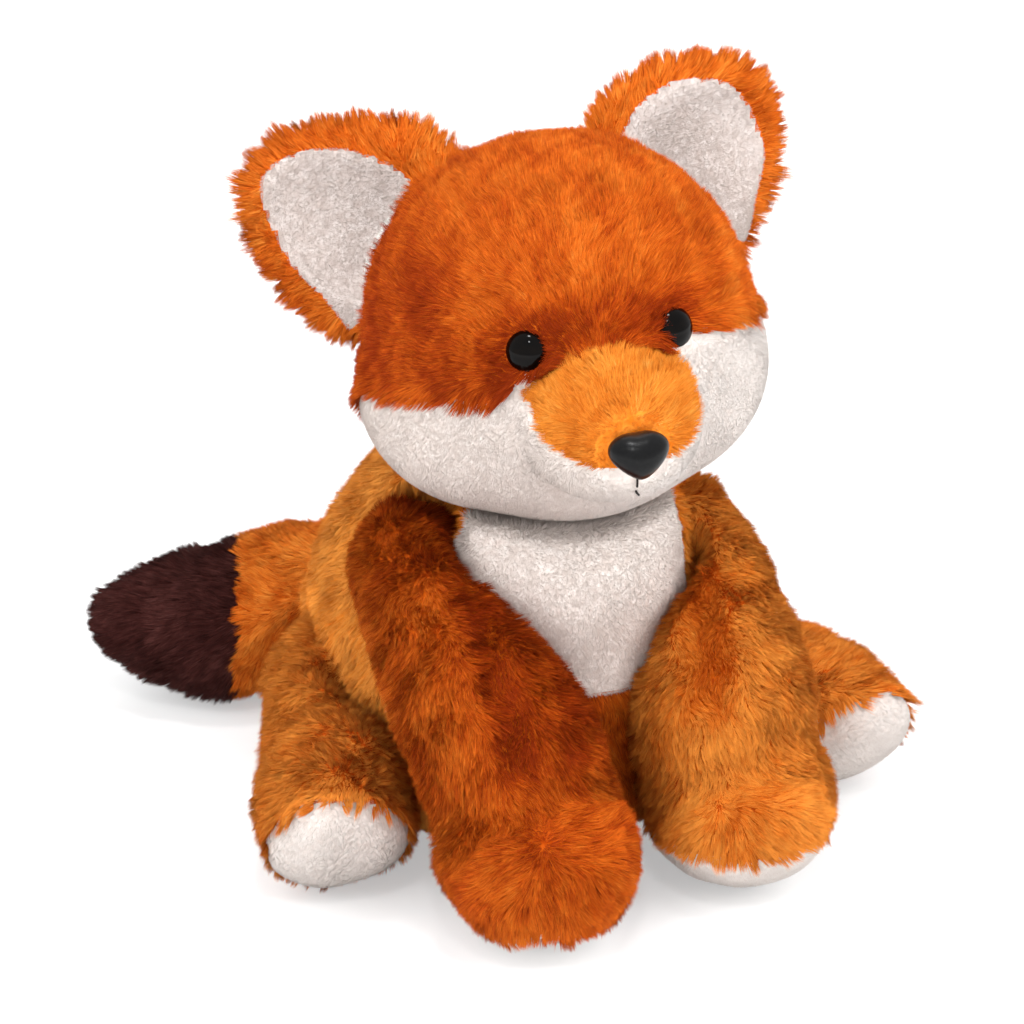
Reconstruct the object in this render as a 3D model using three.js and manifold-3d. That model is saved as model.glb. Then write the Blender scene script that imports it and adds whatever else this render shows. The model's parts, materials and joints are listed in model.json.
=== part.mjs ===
// A seated plush fox: sewn covers over soft filling, with plastic eyes and nose and a stitched mouth.
// Millimetres, +Z up. The fox faces -Y and its left side is +X. The origin is on the flat seat, below
// the head.
import * as THREE from 'three';
import { mergeVertices } from 'three/addons/utils/BufferGeometryUtils.js';
import Module from 'manifold-3d';

const wasm = await Module();
wasm.setup();

// Driving sizes of the whole toy
const cloth = 3; // fabric with the lower part of its pile
const seamGap = 0.3; // clearance between pieces that are sewn or pressed together
const fillingGap = 0.8; // clearance between a cover and its filling
const restGap = 1; // clearance between the torso and a limb that rests along it
const overrun = 20; // how far a cutting solid runs past what it cuts
const flatDepth = 0.5; // how deep a form is cut flat where it stands on the floor

// Head: a ball with a muzzle
const headRadius = 57.5;
const headHeight = 161;
const headForward = 9;
const headAside = 1.5;
const headTurn = THREE.MathUtils.degToRad(-10);
const headRoll = THREE.MathUtils.degToRad(-4);
const neckSwing = THREE.MathUtils.degToRad(30); // to each side
const jowlHalfWidth = 44; // the full cheeks are an ellipsoid at each side
const jowlHalfLength = 42;
const jowlHalfHeight = 38;
const jowlAside = 18;
const jowlDrop = 14;
const jowlGap = 2.2; // clearance between the full cheeks and the torso
const muzzleHalfWidth = 27;
const muzzleHalfLength = 30;
const muzzleHalfHeight = 23;
const muzzleForward = 52;
const muzzleDrop = 8;
const patchTilt = THREE.MathUtils.degToRad(30); // the orange muzzle patch is cut along a sloping plane
const patchLift = 10;
const patchMargin = 0.8; // how far the patch runs onto the face
const cheekHalfWidth = 120; // the white of the cheeks ends where a large ellipsoid leaves the head
const cheekHalfDepth = 80;
const cheekHalfHeight = 62;
const cheekForward = 45;
const cheekTop = 4;
const cheekRoll = THREE.MathUtils.degToRad(-5);

// Eyes and nose: moulded pieces with a shank and a washer behind the cloth
const eyeRadius = 6;
const eyeBulge = 4.4;
const eyeAside = 22.5;
const eyeHeight = 15;
const eyeSink = 2; // how deep the dome's rim lies in the pile
const shankRadius = 1.8;
const shankLength = 9;
const washerRadius = 6;
const washerThickness = 1.6;
const eyeWasherSetback = 4; // from an eye's seat back to its washer
const noseHalfWidth = 8.6;
const noseHalfHeight = 6.8;
const noseHalfDepth = 6.4;
const nosePostLength = 12;
const noseWasherSetback = 7.5;
const noseDrop = 1.5;
const noseTaperShare = 0.3;
const threadRadius = 0.6;
const mouthLength = 8;
const mouthTurn = 2.6;

// Ears: a cupped back piece and a lining
const earRise = THREE.MathUtils.degToRad(32);
const earTilt = THREE.MathUtils.degToRad(2); // the left ear stands higher, the right one lower
const earSweep = THREE.MathUtils.degToRad(16);
const earBack = 15;
const earReach = 96;
const earRoot = 34;
const earHalfWidth = 36;
const earHalfThickness = 8;
const earScoopHalfLength = 31;
const earScoopHalfWidth = 21;
const earScoopHalfDepth = 9;
const earScoopReach = 61;
const earScoopForward = 9;
const earScoopDrop = 2;

// Torso: a pear shape that leans forward at the chest
const torsoHeight = 124;
const torsoHalfWidth = 66;
const torsoHalfDepth = 70;
const torsoBack = 26;
const torsoLean = 40;
const bibHalfWidth = 58;
const bibHalfDepth = 60;
const bibHalfHeight = 66;
const bibHeight = 88;
const bibForward = 70;
const pouchHalfWidth = 40;
const pouchHalfHeight = 24;

// Front legs: the places along each leg, the left paw lying a little further back
const shoulderRadius = 20;
const elbowRadius = 25;
const wristShare = 0.58; // where the wrist lies on the way from the elbow to the paw
const tuckRadius = 25; // the leg narrows inside the paw
const pawHalfWidth = 31;
const pawHalfLength = 32;
const pawHalfHeight = 27;
const pawHeight = pawHalfHeight - flatDepth;
const frontLegSwing = THREE.MathUtils.degToRad(22); // forward and up
const pawPadHeight = 6;
const pawPadTilt = THREE.MathUtils.degToRad(-14);
const frontLegs = {
  left: {
    shoulder: new THREE.Vector3(41, -4, 90),
    elbow: new THREE.Vector3(39, -38, 69),
    paw: new THREE.Vector3(35, -62, pawHeight),
    wristAside: -2.7, // from the line between elbow and paw
    wristRadius: 32,
  },
  right: {
    shoulder: new THREE.Vector3(-44, -4, 93),
    elbow: new THREE.Vector3(-44, -40, 75),
    paw: new THREE.Vector3(-33, -70, pawHeight),
    wristAside: 3.8,
    wristRadius: 29,
  },
};

// Hind legs: the left one lies turned further out
const hindLegSwing = THREE.MathUtils.degToRad(30); // outward
const hipRadius = 25;
const kneeRadius = 25.5;
const leftFootRadius = 25;
const rightFootRadius = 25;
const soleInset = 3; // how much narrower the foot's front end is than the foot
const soleReach = 15;
const soleDepth = 10;
const hindLegs = {
  left: {
    hip: new THREE.Vector3(54, 30, 38),
    knee: new THREE.Vector3(70, 4, 28),
    foot: new THREE.Vector3(87, -30, leftFootRadius - flatDepth),
    footRadius: leftFootRadius,
    facing: new THREE.Vector3(0.1, -0.83, -0.5).normalize(),
  },
  right: {
    hip: new THREE.Vector3(-54, 30, 38),
    knee: new THREE.Vector3(-63, 5, 32),
    foot: new THREE.Vector3(-79, -28, rightFootRadius - flatDepth),
    footRadius: rightFootRadius,
    facing: new THREE.Vector3(-0.24, -0.84, -0.49).normalize(),
  },
};

// Tail: it lies turned to the fox's right
const tailSwing = THREE.MathUtils.degToRad(60); // back to the middle
const tailRootRadius = 22;
const tailRoot = new THREE.Vector3(-8, 84, 42);
const tailBendRadius = 26;
const tailBend = new THREE.Vector3(-32, 101, 36);
const tailSeamRadius = 28;
const tailSeam = new THREE.Vector3(-57, 109, tailSeamRadius - flatDepth);
const tailTip = new THREE.Vector3(-104, 129, 29);
const tailTipRadius = 20;

const materials = {
  orangePlush: new THREE.MeshStandardMaterial({ color: 0xd2661c, roughness: 0.95, metalness: 0 }),
  shortOrangePlush: new THREE.MeshStandardMaterial({ color: 0xdb7c22, roughness: 0.92, metalness: 0 }),
  whitePlush: new THREE.MeshStandardMaterial({ color: 0xeee8e4, roughness: 0.95, metalness: 0 }),
  darkPlush: new THREE.MeshStandardMaterial({ color: 0x44221f, roughness: 0.95, metalness: 0 }),
  filling: new THREE.MeshStandardMaterial({ color: 0xf4f3ee, roughness: 1, metalness: 0 }),
  pouchCloth: new THREE.MeshStandardMaterial({ color: 0xd9d2c3, roughness: 0.9, metalness: 0 }),
  eyePlastic: new THREE.MeshStandardMaterial({ color: 0x140b07, roughness: 0.08, metalness: 0 }),
  nosePlastic: new THREE.MeshStandardMaterial({ color: 0x2b2c30, roughness: 0.4, metalness: 0 }),
  washerPlastic: new THREE.MeshStandardMaterial({ color: 0xe6e6e2, roughness: 0.5, metalness: 0 }),
  thread: new THREE.MeshStandardMaterial({ color: 0x1d1816, roughness: 0.7, metalness: 0 }),
};

// Turns a closed geometry into a solid, mirrored or moved by a matrix
function solid(geometry, matrix = new THREE.Matrix4()) {
  const bare = geometry.clone();
  bare.deleteAttribute('normal');
  bare.deleteAttribute('uv');
  const merged = mergeVertices(bare.applyMatrix4(matrix));
  const triVerts = new Uint32Array(merged.index.array);
  if (matrix.determinant() < 0) {
    for (let i = 0; i < triVerts.length; i += 3) {
      [triVerts[i], triVerts[i + 1]] = [triVerts[i + 1], triVerts[i]];
    }
  }
  const vertProperties = new Float32Array(merged.attributes.position.array);
  return new wasm.Manifold(new wasm.Mesh({ numProp: 3, vertProperties, triVerts }));
}

// Turns a solid into a named mesh
function piece(name, body, material) {
  const { vertProperties, triVerts } = body.getMesh();
  const geometry = new THREE.BufferGeometry();
  geometry.setAttribute('position', new THREE.BufferAttribute(vertProperties, 3));
  geometry.setIndex(new THREE.BufferAttribute(triVerts, 1));
  geometry.computeVertexNormals();
  const mesh = new THREE.Mesh(geometry, material);
  mesh.name = name;
  return mesh;
}

// An ellipsoid with its poles front and back
function ellipsoid(centre, radii, grow, around, along) {
  const geometry = new THREE.SphereGeometry(1, around, along);
  geometry.scale(radii.x + grow, radii.y + grow, radii.z + grow);
  geometry.translate(centre.x, centre.y, centre.z);
  return geometry;
}

// A ball of one radius
function ball(centre, radius, grow, around, along) {
  return ellipsoid(centre, new THREE.Vector3(radius, radius, radius), grow, around, along);
}

// A hollow in which a ball with as many facets can turn any way
function dish(centre, radius, around, along) {
  const flatShare = Math.cos(Math.PI / around) * Math.cos(Math.PI / (2 * along));
  return ball(centre, (radius + seamGap) / flatShare, 0, around, along);
}

// A box between two corners
function block(low, high) {
  const size = high.clone().sub(low);
  const middle = low.clone().add(high).divideScalar(2);
  return new THREE.BoxGeometry(size.x, size.y, size.z).translate(middle.x, middle.y, middle.z);
}

// A form swept along a smooth line. A station has a place, a half width along `side` and a half height
// square to it. The first and last places are the form's ends, round unless the start is square.
function pod(stations, side, { grow = 0, rings, sides, bluntness = 4, squareStart = false }) {
  const path = new THREE.CatmullRomCurve3(stations.map((s) => s.at));
  const widths = new THREE.CatmullRomCurve3(stations.map((s) => new THREE.Vector3(s.wide, s.tall, 0)));
  const positions = [];
  const index = [];
  const startEnd = path.getPoint(0).addScaledVector(path.getTangent(0), -grow);
  const farEnd = path.getPoint(1).addScaledVector(path.getTangent(1), grow);
  positions.push(...startEnd.toArray());
  for (let ring = 1; ring < rings; ring += 1) {
    const share = ring / rings;
    const fromSquare = Math.sin(((Math.PI / 2) * (ring - 1)) / (rings - 1));
    const fromRound = (1 - Math.cos(Math.PI * share)) / 2;
    const along = squareStart ? fromSquare : fromRound;
    const tangent = path.getTangent(along);
    const across = side.clone().addScaledVector(tangent, -side.dot(tangent)).normalize();
    const upward = new THREE.Vector3().crossVectors(tangent, across);
    const fromMiddle = squareStart ? Math.max(0, 2 * along - 1) : Math.abs(2 * along - 1);
    const cap = Math.sqrt(1 - fromMiddle ** bluntness);
    const half = widths.getPoint(along);
    const centre = path.getPoint(along);
    for (let i = 0; i < sides; i += 1) {
      const angle = (2 * Math.PI * i) / sides;
      const point = centre
        .clone()
        .addScaledVector(across, (half.x * cap + grow) * Math.cos(angle))
        .addScaledVector(upward, (half.y * cap + grow) * Math.sin(angle));
      positions.push(...point.toArray());
    }
  }
  positions.push(...farEnd.toArray());
  const last = positions.length / 3 - 1;
  for (let i = 0; i < sides; i += 1) {
    const next = (i + 1) % sides;
    index.push(0, 1 + next, 1 + i);
    for (let ring = 0; ring < rings - 2; ring += 1) {
      const a = 1 + ring * sides;
      const b = a + sides;
      index.push(a + i, a + next, b + next, a + i, b + next, b + i);
    }
    index.push(last, last - sides + i, last - sides + next);
  }
  const geometry = new THREE.BufferGeometry();
  geometry.setAttribute('position', new THREE.Float32BufferAttribute(positions, 3));
  geometry.setIndex(index);
  return geometry;
}

const sideways = new THREE.Vector3(1, 0, 0);
const upright = new THREE.Vector3(0, 0, 1);
const headCentre = new THREE.Vector3(headAside, -headForward, headHeight);
const farAway = 2 * (headHeight + headRadius);
const farCorner = new THREE.Vector3(farAway, farAway, farAway);

// Everything above a height
function above(height) {
  const low = new THREE.Vector3(-farAway, -farAway, height);
  return solid(block(low, farCorner));
}

// Everything on one side of a plane through a place, away from the fox's middle along a direction
function beyond(place, direction, shift = 0) {
  const turn = new THREE.Quaternion().setFromUnitVectors(upright, direction);
  const start = place.clone().addScaledVector(direction, shift);
  const half = block(new THREE.Vector3(-farAway, -farAway, 0), farCorner);
  return solid(half, new THREE.Matrix4().compose(start, turn, new THREE.Vector3(1, 1, 1)));
}

// Facet counts: outer faces are rounder than the hidden inner ones
const outerFacets = {
  around: 22,
  along: 14,
  rings: 9,
  sides: 12,
  paw: { around: 16, along: 10 },
  jowl: { around: 18, along: 11 },
};
const innerFacets = {
  around: 12,
  along: 8,
  rings: 5,
  sides: 8,
  paw: { around: 8, along: 6 },
  jowl: { around: 12, along: 8 },
};
const jointFacets = { around: 12, along: 7 };
const headDishFacets = { around: 16, along: 10 };
const jowlDishFacets = { around: 12, along: 8 };

function facets(grow) {
  return grow < 0 ? innerFacets : outerFacets;
}

// The shares of a limb's swing, and of the neck's, at which clearance is cut
const swingShares = [0, 0.5, 1];
const neckShares = [-1, 0, 1];

// The torso form, as height, width, depth and lean shares of its sizes from the seat to the neck
const torsoShares = [
  [-0.02, 0.62, 0.66, 0.0],
  [0.08, 0.92, 0.95, 0.0],
  [0.28, 1.0, 1.0, 0.05],
  [0.5, 1.0, 0.95, 0.2],
  [0.7, 0.88, 0.83, 0.48],
  [0.86, 0.7, 0.66, 0.82],
  [1.0, 0.56, 0.52, 1.08],
];
const torsoFacets = { outer: { rings: 12, sides: 18 }, inner: { rings: 6, sides: 10 } };

function torsoForm(grow = 0, matrix = new THREE.Matrix4()) {
  const stations = torsoShares.map(([height, width, depth, lean]) => ({
    at: new THREE.Vector3(0, torsoBack - torsoLean * lean, torsoHeight * height),
    wide: torsoHalfWidth * width,
    tall: torsoHalfDepth * depth,
  }));
  const { rings, sides } = grow < 0 ? torsoFacets.inner : torsoFacets.outer;
  return solid(pod(stations, sideways, { grow, rings, sides, bluntness: 12 }), matrix);
}

// The head and its parts are worked out with the head's middle at the origin, facing -Y
const headMiddle = new THREE.Vector3();
const front = new THREE.Vector3(0, -1, 0);

function headBall(grow = 0) {
  const { around, along } = facets(grow);
  return solid(ball(headMiddle, headRadius, grow, around, along));
}

const muzzleCentre = new THREE.Vector3(0, -muzzleForward, -muzzleDrop);
const muzzleRadii = new THREE.Vector3(muzzleHalfWidth, muzzleHalfLength, muzzleHalfHeight);

function muzzleForm(grow = 0) {
  const { around, along } = facets(grow);
  return solid(ellipsoid(muzzleCentre, muzzleRadii, grow, around, along));
}

const jowlRadii = new THREE.Vector3(jowlHalfWidth, jowlHalfLength, jowlHalfHeight);

function jowl(hand, grow, { around, along }, matrix) {
  const centre = new THREE.Vector3(hand * jowlAside, 0, -jowlDrop);
  return solid(ellipsoid(centre, jowlRadii, grow, around, along), matrix);
}

function headForm(grow = 0) {
  const jowls = [1, -1].map((hand) => jowl(hand, grow, facets(grow).jowl));
  return headBall(grow).add(muzzleForm(grow)).add(jowls[0]).add(jowls[1]);
}

// The head's frame when the neck is turned from rest
function headMatrix(turn = 0) {
  const place = new THREE.Matrix4().makeTranslation(headCentre.x, headCentre.y, headCentre.z);
  const aim = new THREE.Matrix4().makeRotationZ(headTurn + turn);
  return place.multiply(aim).multiply(new THREE.Matrix4().makeRotationY(headRoll));
}

// How far forward the muzzle's surface lies at a place across and up
function muzzleFront(x, z) {
  const across = x / muzzleRadii.x;
  const up = (z - muzzleCentre.z) / muzzleRadii.z;
  return muzzleCentre.y - muzzleRadii.y * Math.sqrt(1 - across * across - up * up);
}

// The orange patch: the part of the muzzle above a sloping plane
function patchRegion(grow = 0) {
  const slope = upright.clone().applyAxisAngle(sideways, patchTilt);
  return beyond(muzzleCentre, slope, patchLift - grow).intersect(muzzleForm(patchMargin + grow));
}

function cheekRegion(grow = 0) {
  const centre = new THREE.Vector3(0, -cheekForward, cheekTop - cheekHalfHeight);
  const radii = new THREE.Vector3(cheekHalfWidth, cheekHalfDepth, cheekHalfHeight);
  return solid(ellipsoid(centre, radii, grow, 20, 12), new THREE.Matrix4().makeRotationY(cheekRoll));
}

// A turned shape from points of radius and height, standing on a place and facing outward
function turned(profile, place, outward) {
  const points = profile.map(([radius, height]) => new THREE.Vector2(radius, height));
  const geometry = new THREE.LatheGeometry(points, 12);
  const turn = new THREE.Quaternion().setFromUnitVectors(new THREE.Vector3(0, 1, 0), outward);
  return solid(geometry, new THREE.Matrix4().compose(place, turn, new THREE.Vector3(1, 1, 1)));
}

// An eye: a glossy dome on a shank
function eyeSolid({ place, outward }) {
  const domeSteps = 5;
  const profile = [[0, -shankLength], [shankRadius, -shankLength], [shankRadius, 0], [eyeRadius, 0]];
  for (let i = 1; i < domeSteps; i += 1) {
    const angle = (Math.PI / 2) * (i / domeSteps);
    profile.push([eyeRadius * Math.cos(angle), eyeBulge * Math.sin(angle)]);
  }
  profile.push([0, eyeBulge]);
  return turned(profile, place, outward);
}

// The hole that an eye leaves: the sunk rim of its dome and the bore of its shank
function eyeHole({ place, outward }) {
  const bore = shankRadius + seamGap;
  const rim = eyeRadius + seamGap;
  const depth = shankLength + seamGap;
  const shank = [[0, -depth], [bore, -depth], [bore, -seamGap]];
  const profile = [...shank, [rim, -seamGap], [rim, overrun], [0, overrun]];
  return turned(profile, place, outward);
}

// A washer that grips a shank behind the cloth
function washer({ place, outward, setback }) {
  const bore = shankRadius + seamGap;
  const low = -setback - washerThickness;
  const top = -setback;
  const profile = [[bore, low], [washerRadius, low], [washerRadius, top], [bore, top], [bore, low]];
  return turned(profile, place, outward);
}

// The pocket that a washer lies in
function washerPocket({ place, outward, setback }) {
  const rim = washerRadius + seamGap;
  const low = -setback - washerThickness - seamGap;
  const top = -setback + seamGap;
  return turned([[0, low], [rim, low], [rim, top], [0, top]], place, outward);
}

// Where an eye sits on the head, and the way it faces
function eyeSeat(hand) {
  const depth = Math.sqrt(headRadius ** 2 - eyeAside ** 2 - eyeHeight ** 2);
  const outward = new THREE.Vector3(hand * eyeAside, -depth, eyeHeight).normalize();
  const place = outward.clone().multiplyScalar(headRadius - eyeSink);
  return { place, outward, setback: eyeWasherSetback };
}

const noseSeat = {
  place: new THREE.Vector3(0, muzzleFront(0, noseDrop - muzzleDrop), noseDrop - muzzleDrop),
  outward: front,
  setback: noseWasherSetback,
};

// The nose: a rounded cap, wider above than below
function noseCap(grow = 0) {
  const geometry = new THREE.SphereGeometry(1, 16, 10);
  const position = geometry.attributes.position;
  for (let i = 0; i < position.count; i += 1) {
    const up = position.getZ(i);
    position.setX(i, position.getX(i) * (1 + noseTaperShare * up) * (noseHalfWidth + grow));
    position.setY(i, position.getY(i) * (noseHalfDepth + grow));
    position.setZ(i, up * (noseHalfHeight + grow));
  }
  return solid(geometry.translate(noseSeat.place.x, noseSeat.place.y, noseSeat.place.z));
}

function nosePost(grow = 0) {
  const depth = nosePostLength + grow;
  const radius = shankRadius + grow;
  return turned([[0, -depth], [radius, -depth], [radius, 0], [0, 0]], noseSeat.place, noseSeat.outward);
}

function noseSolid(grow = 0) {
  return noseCap(grow).add(nosePost(grow));
}

// The mouth: one stitch straight down below the nose that turns aside at its end
function mouthSolid(grow = 0) {
  const top = noseSeat.place.z - noseHalfHeight - 2 * seamGap;
  const radius = threadRadius + grow;
  const stops = [
    [0, top + grow],
    [0, top - mouthLength / 2],
    [0, top - mouthLength],
    [mouthTurn + grow, top - mouthLength - mouthTurn],
  ];
  const points = stops.map(([x, z]) => new THREE.Vector3(x, muzzleFront(x, z), z));
  const section = new THREE.Shape().absarc(0, 0, radius, 0, 2 * Math.PI);
  const extrudePath = new THREE.CatmullRomCurve3(points);
  return solid(new THREE.ExtrudeGeometry(section, { steps: 8, extrudePath, curveSegments: 4 }));
}

// The frame of an ear: out of the head, swept back and rising
function earMatrix(hand) {
  const mirror = new THREE.Matrix4().makeScale(hand, 1, 1);
  const shift = new THREE.Matrix4().makeTranslation(0, earBack, 0);
  const rise = new THREE.Matrix4().makeRotationY(-earRise - hand * earTilt);
  const sweep = new THREE.Matrix4().makeRotationZ(earSweep);
  return mirror.multiply(shift).multiply(rise).multiply(sweep);
}

// The ear's width along its length, as shares
const earWidthShares = [[0, 0.95], [0.3, 1.0], [0.65, 0.8], [1, 0.5]];

function earForm(hand) {
  const stations = earWidthShares.map(([along, width]) => ({
    at: new THREE.Vector3(earRoot + (earReach - earRoot) * along, 0, 0),
    wide: earHalfWidth * width,
    tall: earHalfThickness,
  }));
  return solid(pod(stations, upright, { rings: 11, sides: 14 }), earMatrix(hand));
}

function earScoop(hand, grow = 0) {
  const centre = new THREE.Vector3(earScoopReach, -earScoopForward, -earScoopDrop);
  const radii = new THREE.Vector3(earScoopHalfLength, earScoopHalfDepth, earScoopHalfWidth);
  return solid(ellipsoid(centre, radii, grow, 16, 10), earMatrix(hand));
}

// A turn about an axis through a place
function turnAbout(place, axis, angle) {
  const back = new THREE.Matrix4().makeTranslation(-place.x, -place.y, -place.z);
  const turn = new THREE.Matrix4().makeRotationAxis(axis, angle);
  return new THREE.Matrix4().makeTranslation(place.x, place.y, place.z).multiply(turn).multiply(back);
}

// A limb: a form with a ball at its joint. The ball turns in a dish of the torso, and the rest of the limb
// keeps clear of the torso all through its swing.
function limb(form, joint, { axis, reach }, grow) {
  const gap = restGap + Math.max(0, -grow);
  const clear = swingShares
    .map((share) => torsoForm(gap, turnAbout(joint.at, axis, -share * reach)))
    .reduce((rest, torso) => rest.subtract(torso), form);
  const { around, along } = jointFacets;
  return clear.add(solid(ball(joint.at, joint.wide, grow, around, along)));
}

// A form through stations that starts at its widest
function sweep(stations, grow, bluntness) {
  const { rings, sides } = facets(grow);
  return solid(pod(stations, sideways, { grow, rings, sides, bluntness, squareStart: true }));
}

// A station of equal width and height
function round(at, radius) {
  return { at, wide: radius, tall: radius };
}

function frontLegForm({ shoulder, elbow, paw, wristAside, wristRadius }, grow = 0) {
  const wrist = elbow.clone().lerp(paw, wristShare).addScaledVector(sideways, wristAside);
  const stations = [
    round(shoulder, shoulderRadius),
    round(elbow, elbowRadius),
    round(wrist, wristRadius),
    round(paw, tuckRadius),
  ];
  const { around, along } = facets(grow).paw;
  const pawRadii = new THREE.Vector3(pawHalfWidth, pawHalfLength, pawHalfHeight);
  const pawForm = solid(ellipsoid(paw, pawRadii, grow, around, along));
  const swing = { axis: sideways.clone().negate(), reach: frontLegSwing };
  return limb(sweep(stations, grow, 4).add(pawForm), stations[0], swing, grow);
}

function hindLegForm({ hip, knee, foot, footRadius, facing }, grow = 0) {
  const end = foot.clone().addScaledVector(facing, soleReach);
  const stations = [
    round(hip, hipRadius),
    round(knee, kneeRadius),
    round(foot, footRadius),
    round(end, footRadius - soleInset),
  ];
  const swing = { axis: upright, reach: Math.sign(hip.x) * hindLegSwing };
  return limb(sweep(stations, grow, 7), stations[0], swing, grow);
}

function tailForm(grow = 0) {
  const stations = [
    round(tailRoot, tailRootRadius),
    round(tailBend, tailBendRadius),
    round(tailSeam, tailSeamRadius),
    round(tailTip, tailTipRadius),
  ];
  const swing = { axis: upright, reach: -tailSwing };
  return limb(sweep(stations, grow, 4), stations[0], swing, grow);
}

// The white pads: a slice under a front paw, and the front end of a hind foot
function pawPadRegion({ paw }, grow = 0) {
  const downward = new THREE.Vector3(0, 0, -1).applyAxisAngle(sideways, pawPadTilt);
  return beyond(paw.clone().setZ(pawPadHeight), downward, -grow);
}

function soleRegion({ foot, facing }, grow = 0) {
  return beyond(foot, facing, soleReach - soleDepth - grow);
}

function tailTipRegion(grow = 0) {
  return beyond(tailSeam, tailTip.clone().sub(tailSeam).normalize(), -grow);
}

// The hollows of the torso in which the head, legs and tail turn
function torsoDishes() {
  const { around, along } = jointFacets;
  const dishes = [solid(dish(headCentre, headRadius, headDishFacets.around, headDishFacets.along))];
  for (const { shoulder } of Object.values(frontLegs)) {
    dishes.push(solid(dish(shoulder, shoulderRadius, around, along)));
  }
  for (const { hip } of Object.values(hindLegs)) {
    dishes.push(solid(dish(hip, hipRadius, around, along)));
  }
  dishes.push(solid(dish(tailRoot, tailRootRadius, around, along)));
  for (const share of neckShares) {
    const matrix = headMatrix(share * neckSwing);
    dishes.push(jowl(1, jowlGap, jowlDishFacets, matrix), jowl(-1, jowlGap, jowlDishFacets, matrix));
  }
  return dishes.reduce((all, hollow) => all.add(hollow));
}

// A sewn cover: a form's outer skin, standing on the floor where it reaches it
function shell(form) {
  return form(0).intersect(above(0)).subtract(form(-cloth).intersect(above(cloth)));
}

// The filling inside a cover
function filling(form) {
  return form(-cloth - fillingGap).intersect(above(cloth + fillingGap));
}

const group = new THREE.Group();

function buildTorso() {
  const hollows = torsoDishes();
  const skin = shell(torsoForm).subtract(hollows);
  const bibRadii = new THREE.Vector3(bibHalfWidth, bibHalfDepth, bibHalfHeight);
  const bibCentre = new THREE.Vector3(0, -bibForward, bibHeight);
  const bib = (grow) => solid(ellipsoid(bibCentre, bibRadii, grow, 20, 12));
  const pouchRadii = new THREE.Vector3(pouchHalfWidth, pouchHalfWidth, pouchHalfHeight);
  const pouchCentre = new THREE.Vector3(0, torsoBack, pouchHalfHeight);
  const pouch = (grow) => solid(ellipsoid(pouchCentre, pouchRadii, grow, 12, 7));
  group.add(piece('torso_cover', skin.subtract(bib(seamGap)), materials.orangePlush));
  group.add(piece('chest_bib', skin.intersect(bib(0)), materials.whitePlush));
  const fill = filling(torsoForm).subtract(hollows).subtract(pouch(seamGap));
  group.add(piece('torso_stuffing', fill, materials.filling));
  const beans = pouch(0).intersect(above(cloth + fillingGap)).subtract(hollows);
  group.add(piece('seat_bean_pouch', beans, materials.pouchCloth));
}

function buildHead() {
  const head = new THREE.Group();
  head.applyMatrix4(headMatrix());
  group.add(head);
  const skin = headForm(0).subtract(headForm(-cloth));
  const seats = [eyeSeat(1), eyeSeat(-1)];
  const noseHole = noseSolid(seamGap);
  const fittings = [...seats.map(eyeHole), ...seats.map(washerPocket), noseHole, washerPocket(noseSeat)];
  const holes = fittings.reduce((all, hole) => all.add(hole)).add(mouthSolid(seamGap));
  const crown = skin.subtract(cheekRegion(seamGap)).subtract(patchRegion(seamGap));
  const cheeks = skin.intersect(cheekRegion()).subtract(patchRegion(seamGap));
  const patch = skin.intersect(patchRegion());
  head.add(piece('head_crown_cover', crown.subtract(holes), materials.orangePlush));
  head.add(piece('cheek_cover', cheeks.subtract(holes), materials.whitePlush));
  head.add(piece('muzzle_cover', patch.subtract(holes), materials.shortOrangePlush));
  head.add(piece('head_stuffing', headForm(-cloth - fillingGap).subtract(holes), materials.filling));
  head.add(piece('eye_left', eyeSolid(seats[0]), materials.eyePlastic));
  head.add(piece('eye_right', eyeSolid(seats[1]), materials.eyePlastic));
  head.add(piece('eye_washer_left', washer(seats[0]), materials.washerPlastic));
  head.add(piece('eye_washer_right', washer(seats[1]), materials.washerPlastic));
  head.add(piece('nose', noseSolid(), materials.nosePlastic));
  head.add(piece('nose_washer', washer(noseSeat), materials.washerPlastic));
  head.add(piece('mouth_thread', mouthSolid(), materials.thread));
  for (const [name, hand] of [['left', 1], ['right', -1]]) {
    const ear = earForm(hand).subtract(headForm(seamGap));
    const lining = ear.intersect(earScoop(hand, cloth)).subtract(earScoop(hand));
    const back = ear.subtract(earScoop(hand, cloth + seamGap));
    head.add(piece(`ear_back_${name}`, back, materials.orangePlush));
    head.add(piece(`ear_lining_${name}`, lining, materials.whitePlush));
  }
}

// A limb's cover, the pad or tip that closes it, and its filling
function buildLimb(form, region, names, padMaterial) {
  const skin = shell(form);
  group.add(piece(names.cover, skin.subtract(region(seamGap)), materials.orangePlush));
  group.add(piece(names.pad, skin.intersect(region(0)), padMaterial));
  group.add(piece(names.fill, filling(form), materials.filling));
}

function buildLimbs() {
  for (const [name, leg] of Object.entries(frontLegs)) {
    buildLimb(
      (grow) => frontLegForm(leg, grow),
      (grow) => pawPadRegion(leg, grow),
      {
        cover: `front_leg_cover_${name}`,
        pad: `front_paw_pad_${name}`,
        fill: `front_leg_stuffing_${name}`,
      },
      materials.whitePlush,
    );
  }
  for (const [name, leg] of Object.entries(hindLegs)) {
    buildLimb(
      (grow) => hindLegForm(leg, grow),
      (grow) => soleRegion(leg, grow),
      {
        cover: `hind_leg_cover_${name}`,
        pad: `hind_sole_pad_${name}`,
        fill: `hind_leg_stuffing_${name}`,
      },
      materials.whitePlush,
    );
  }
  buildLimb(
    tailForm,
    tailTipRegion,
    { cover: 'tail_cover', pad: 'tail_tip_cover', fill: 'tail_stuffing' },
    materials.darkPlush,
  );
}

buildTorso();
buildHead();
buildLimbs();

export default group;
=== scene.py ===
"""A seated plush fox: sewn skins under a pile of single strands, soft filling, and a face

The frame's covers are smoothed into one skin for each body, and strands of pile grow on the skins.
"""

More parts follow.
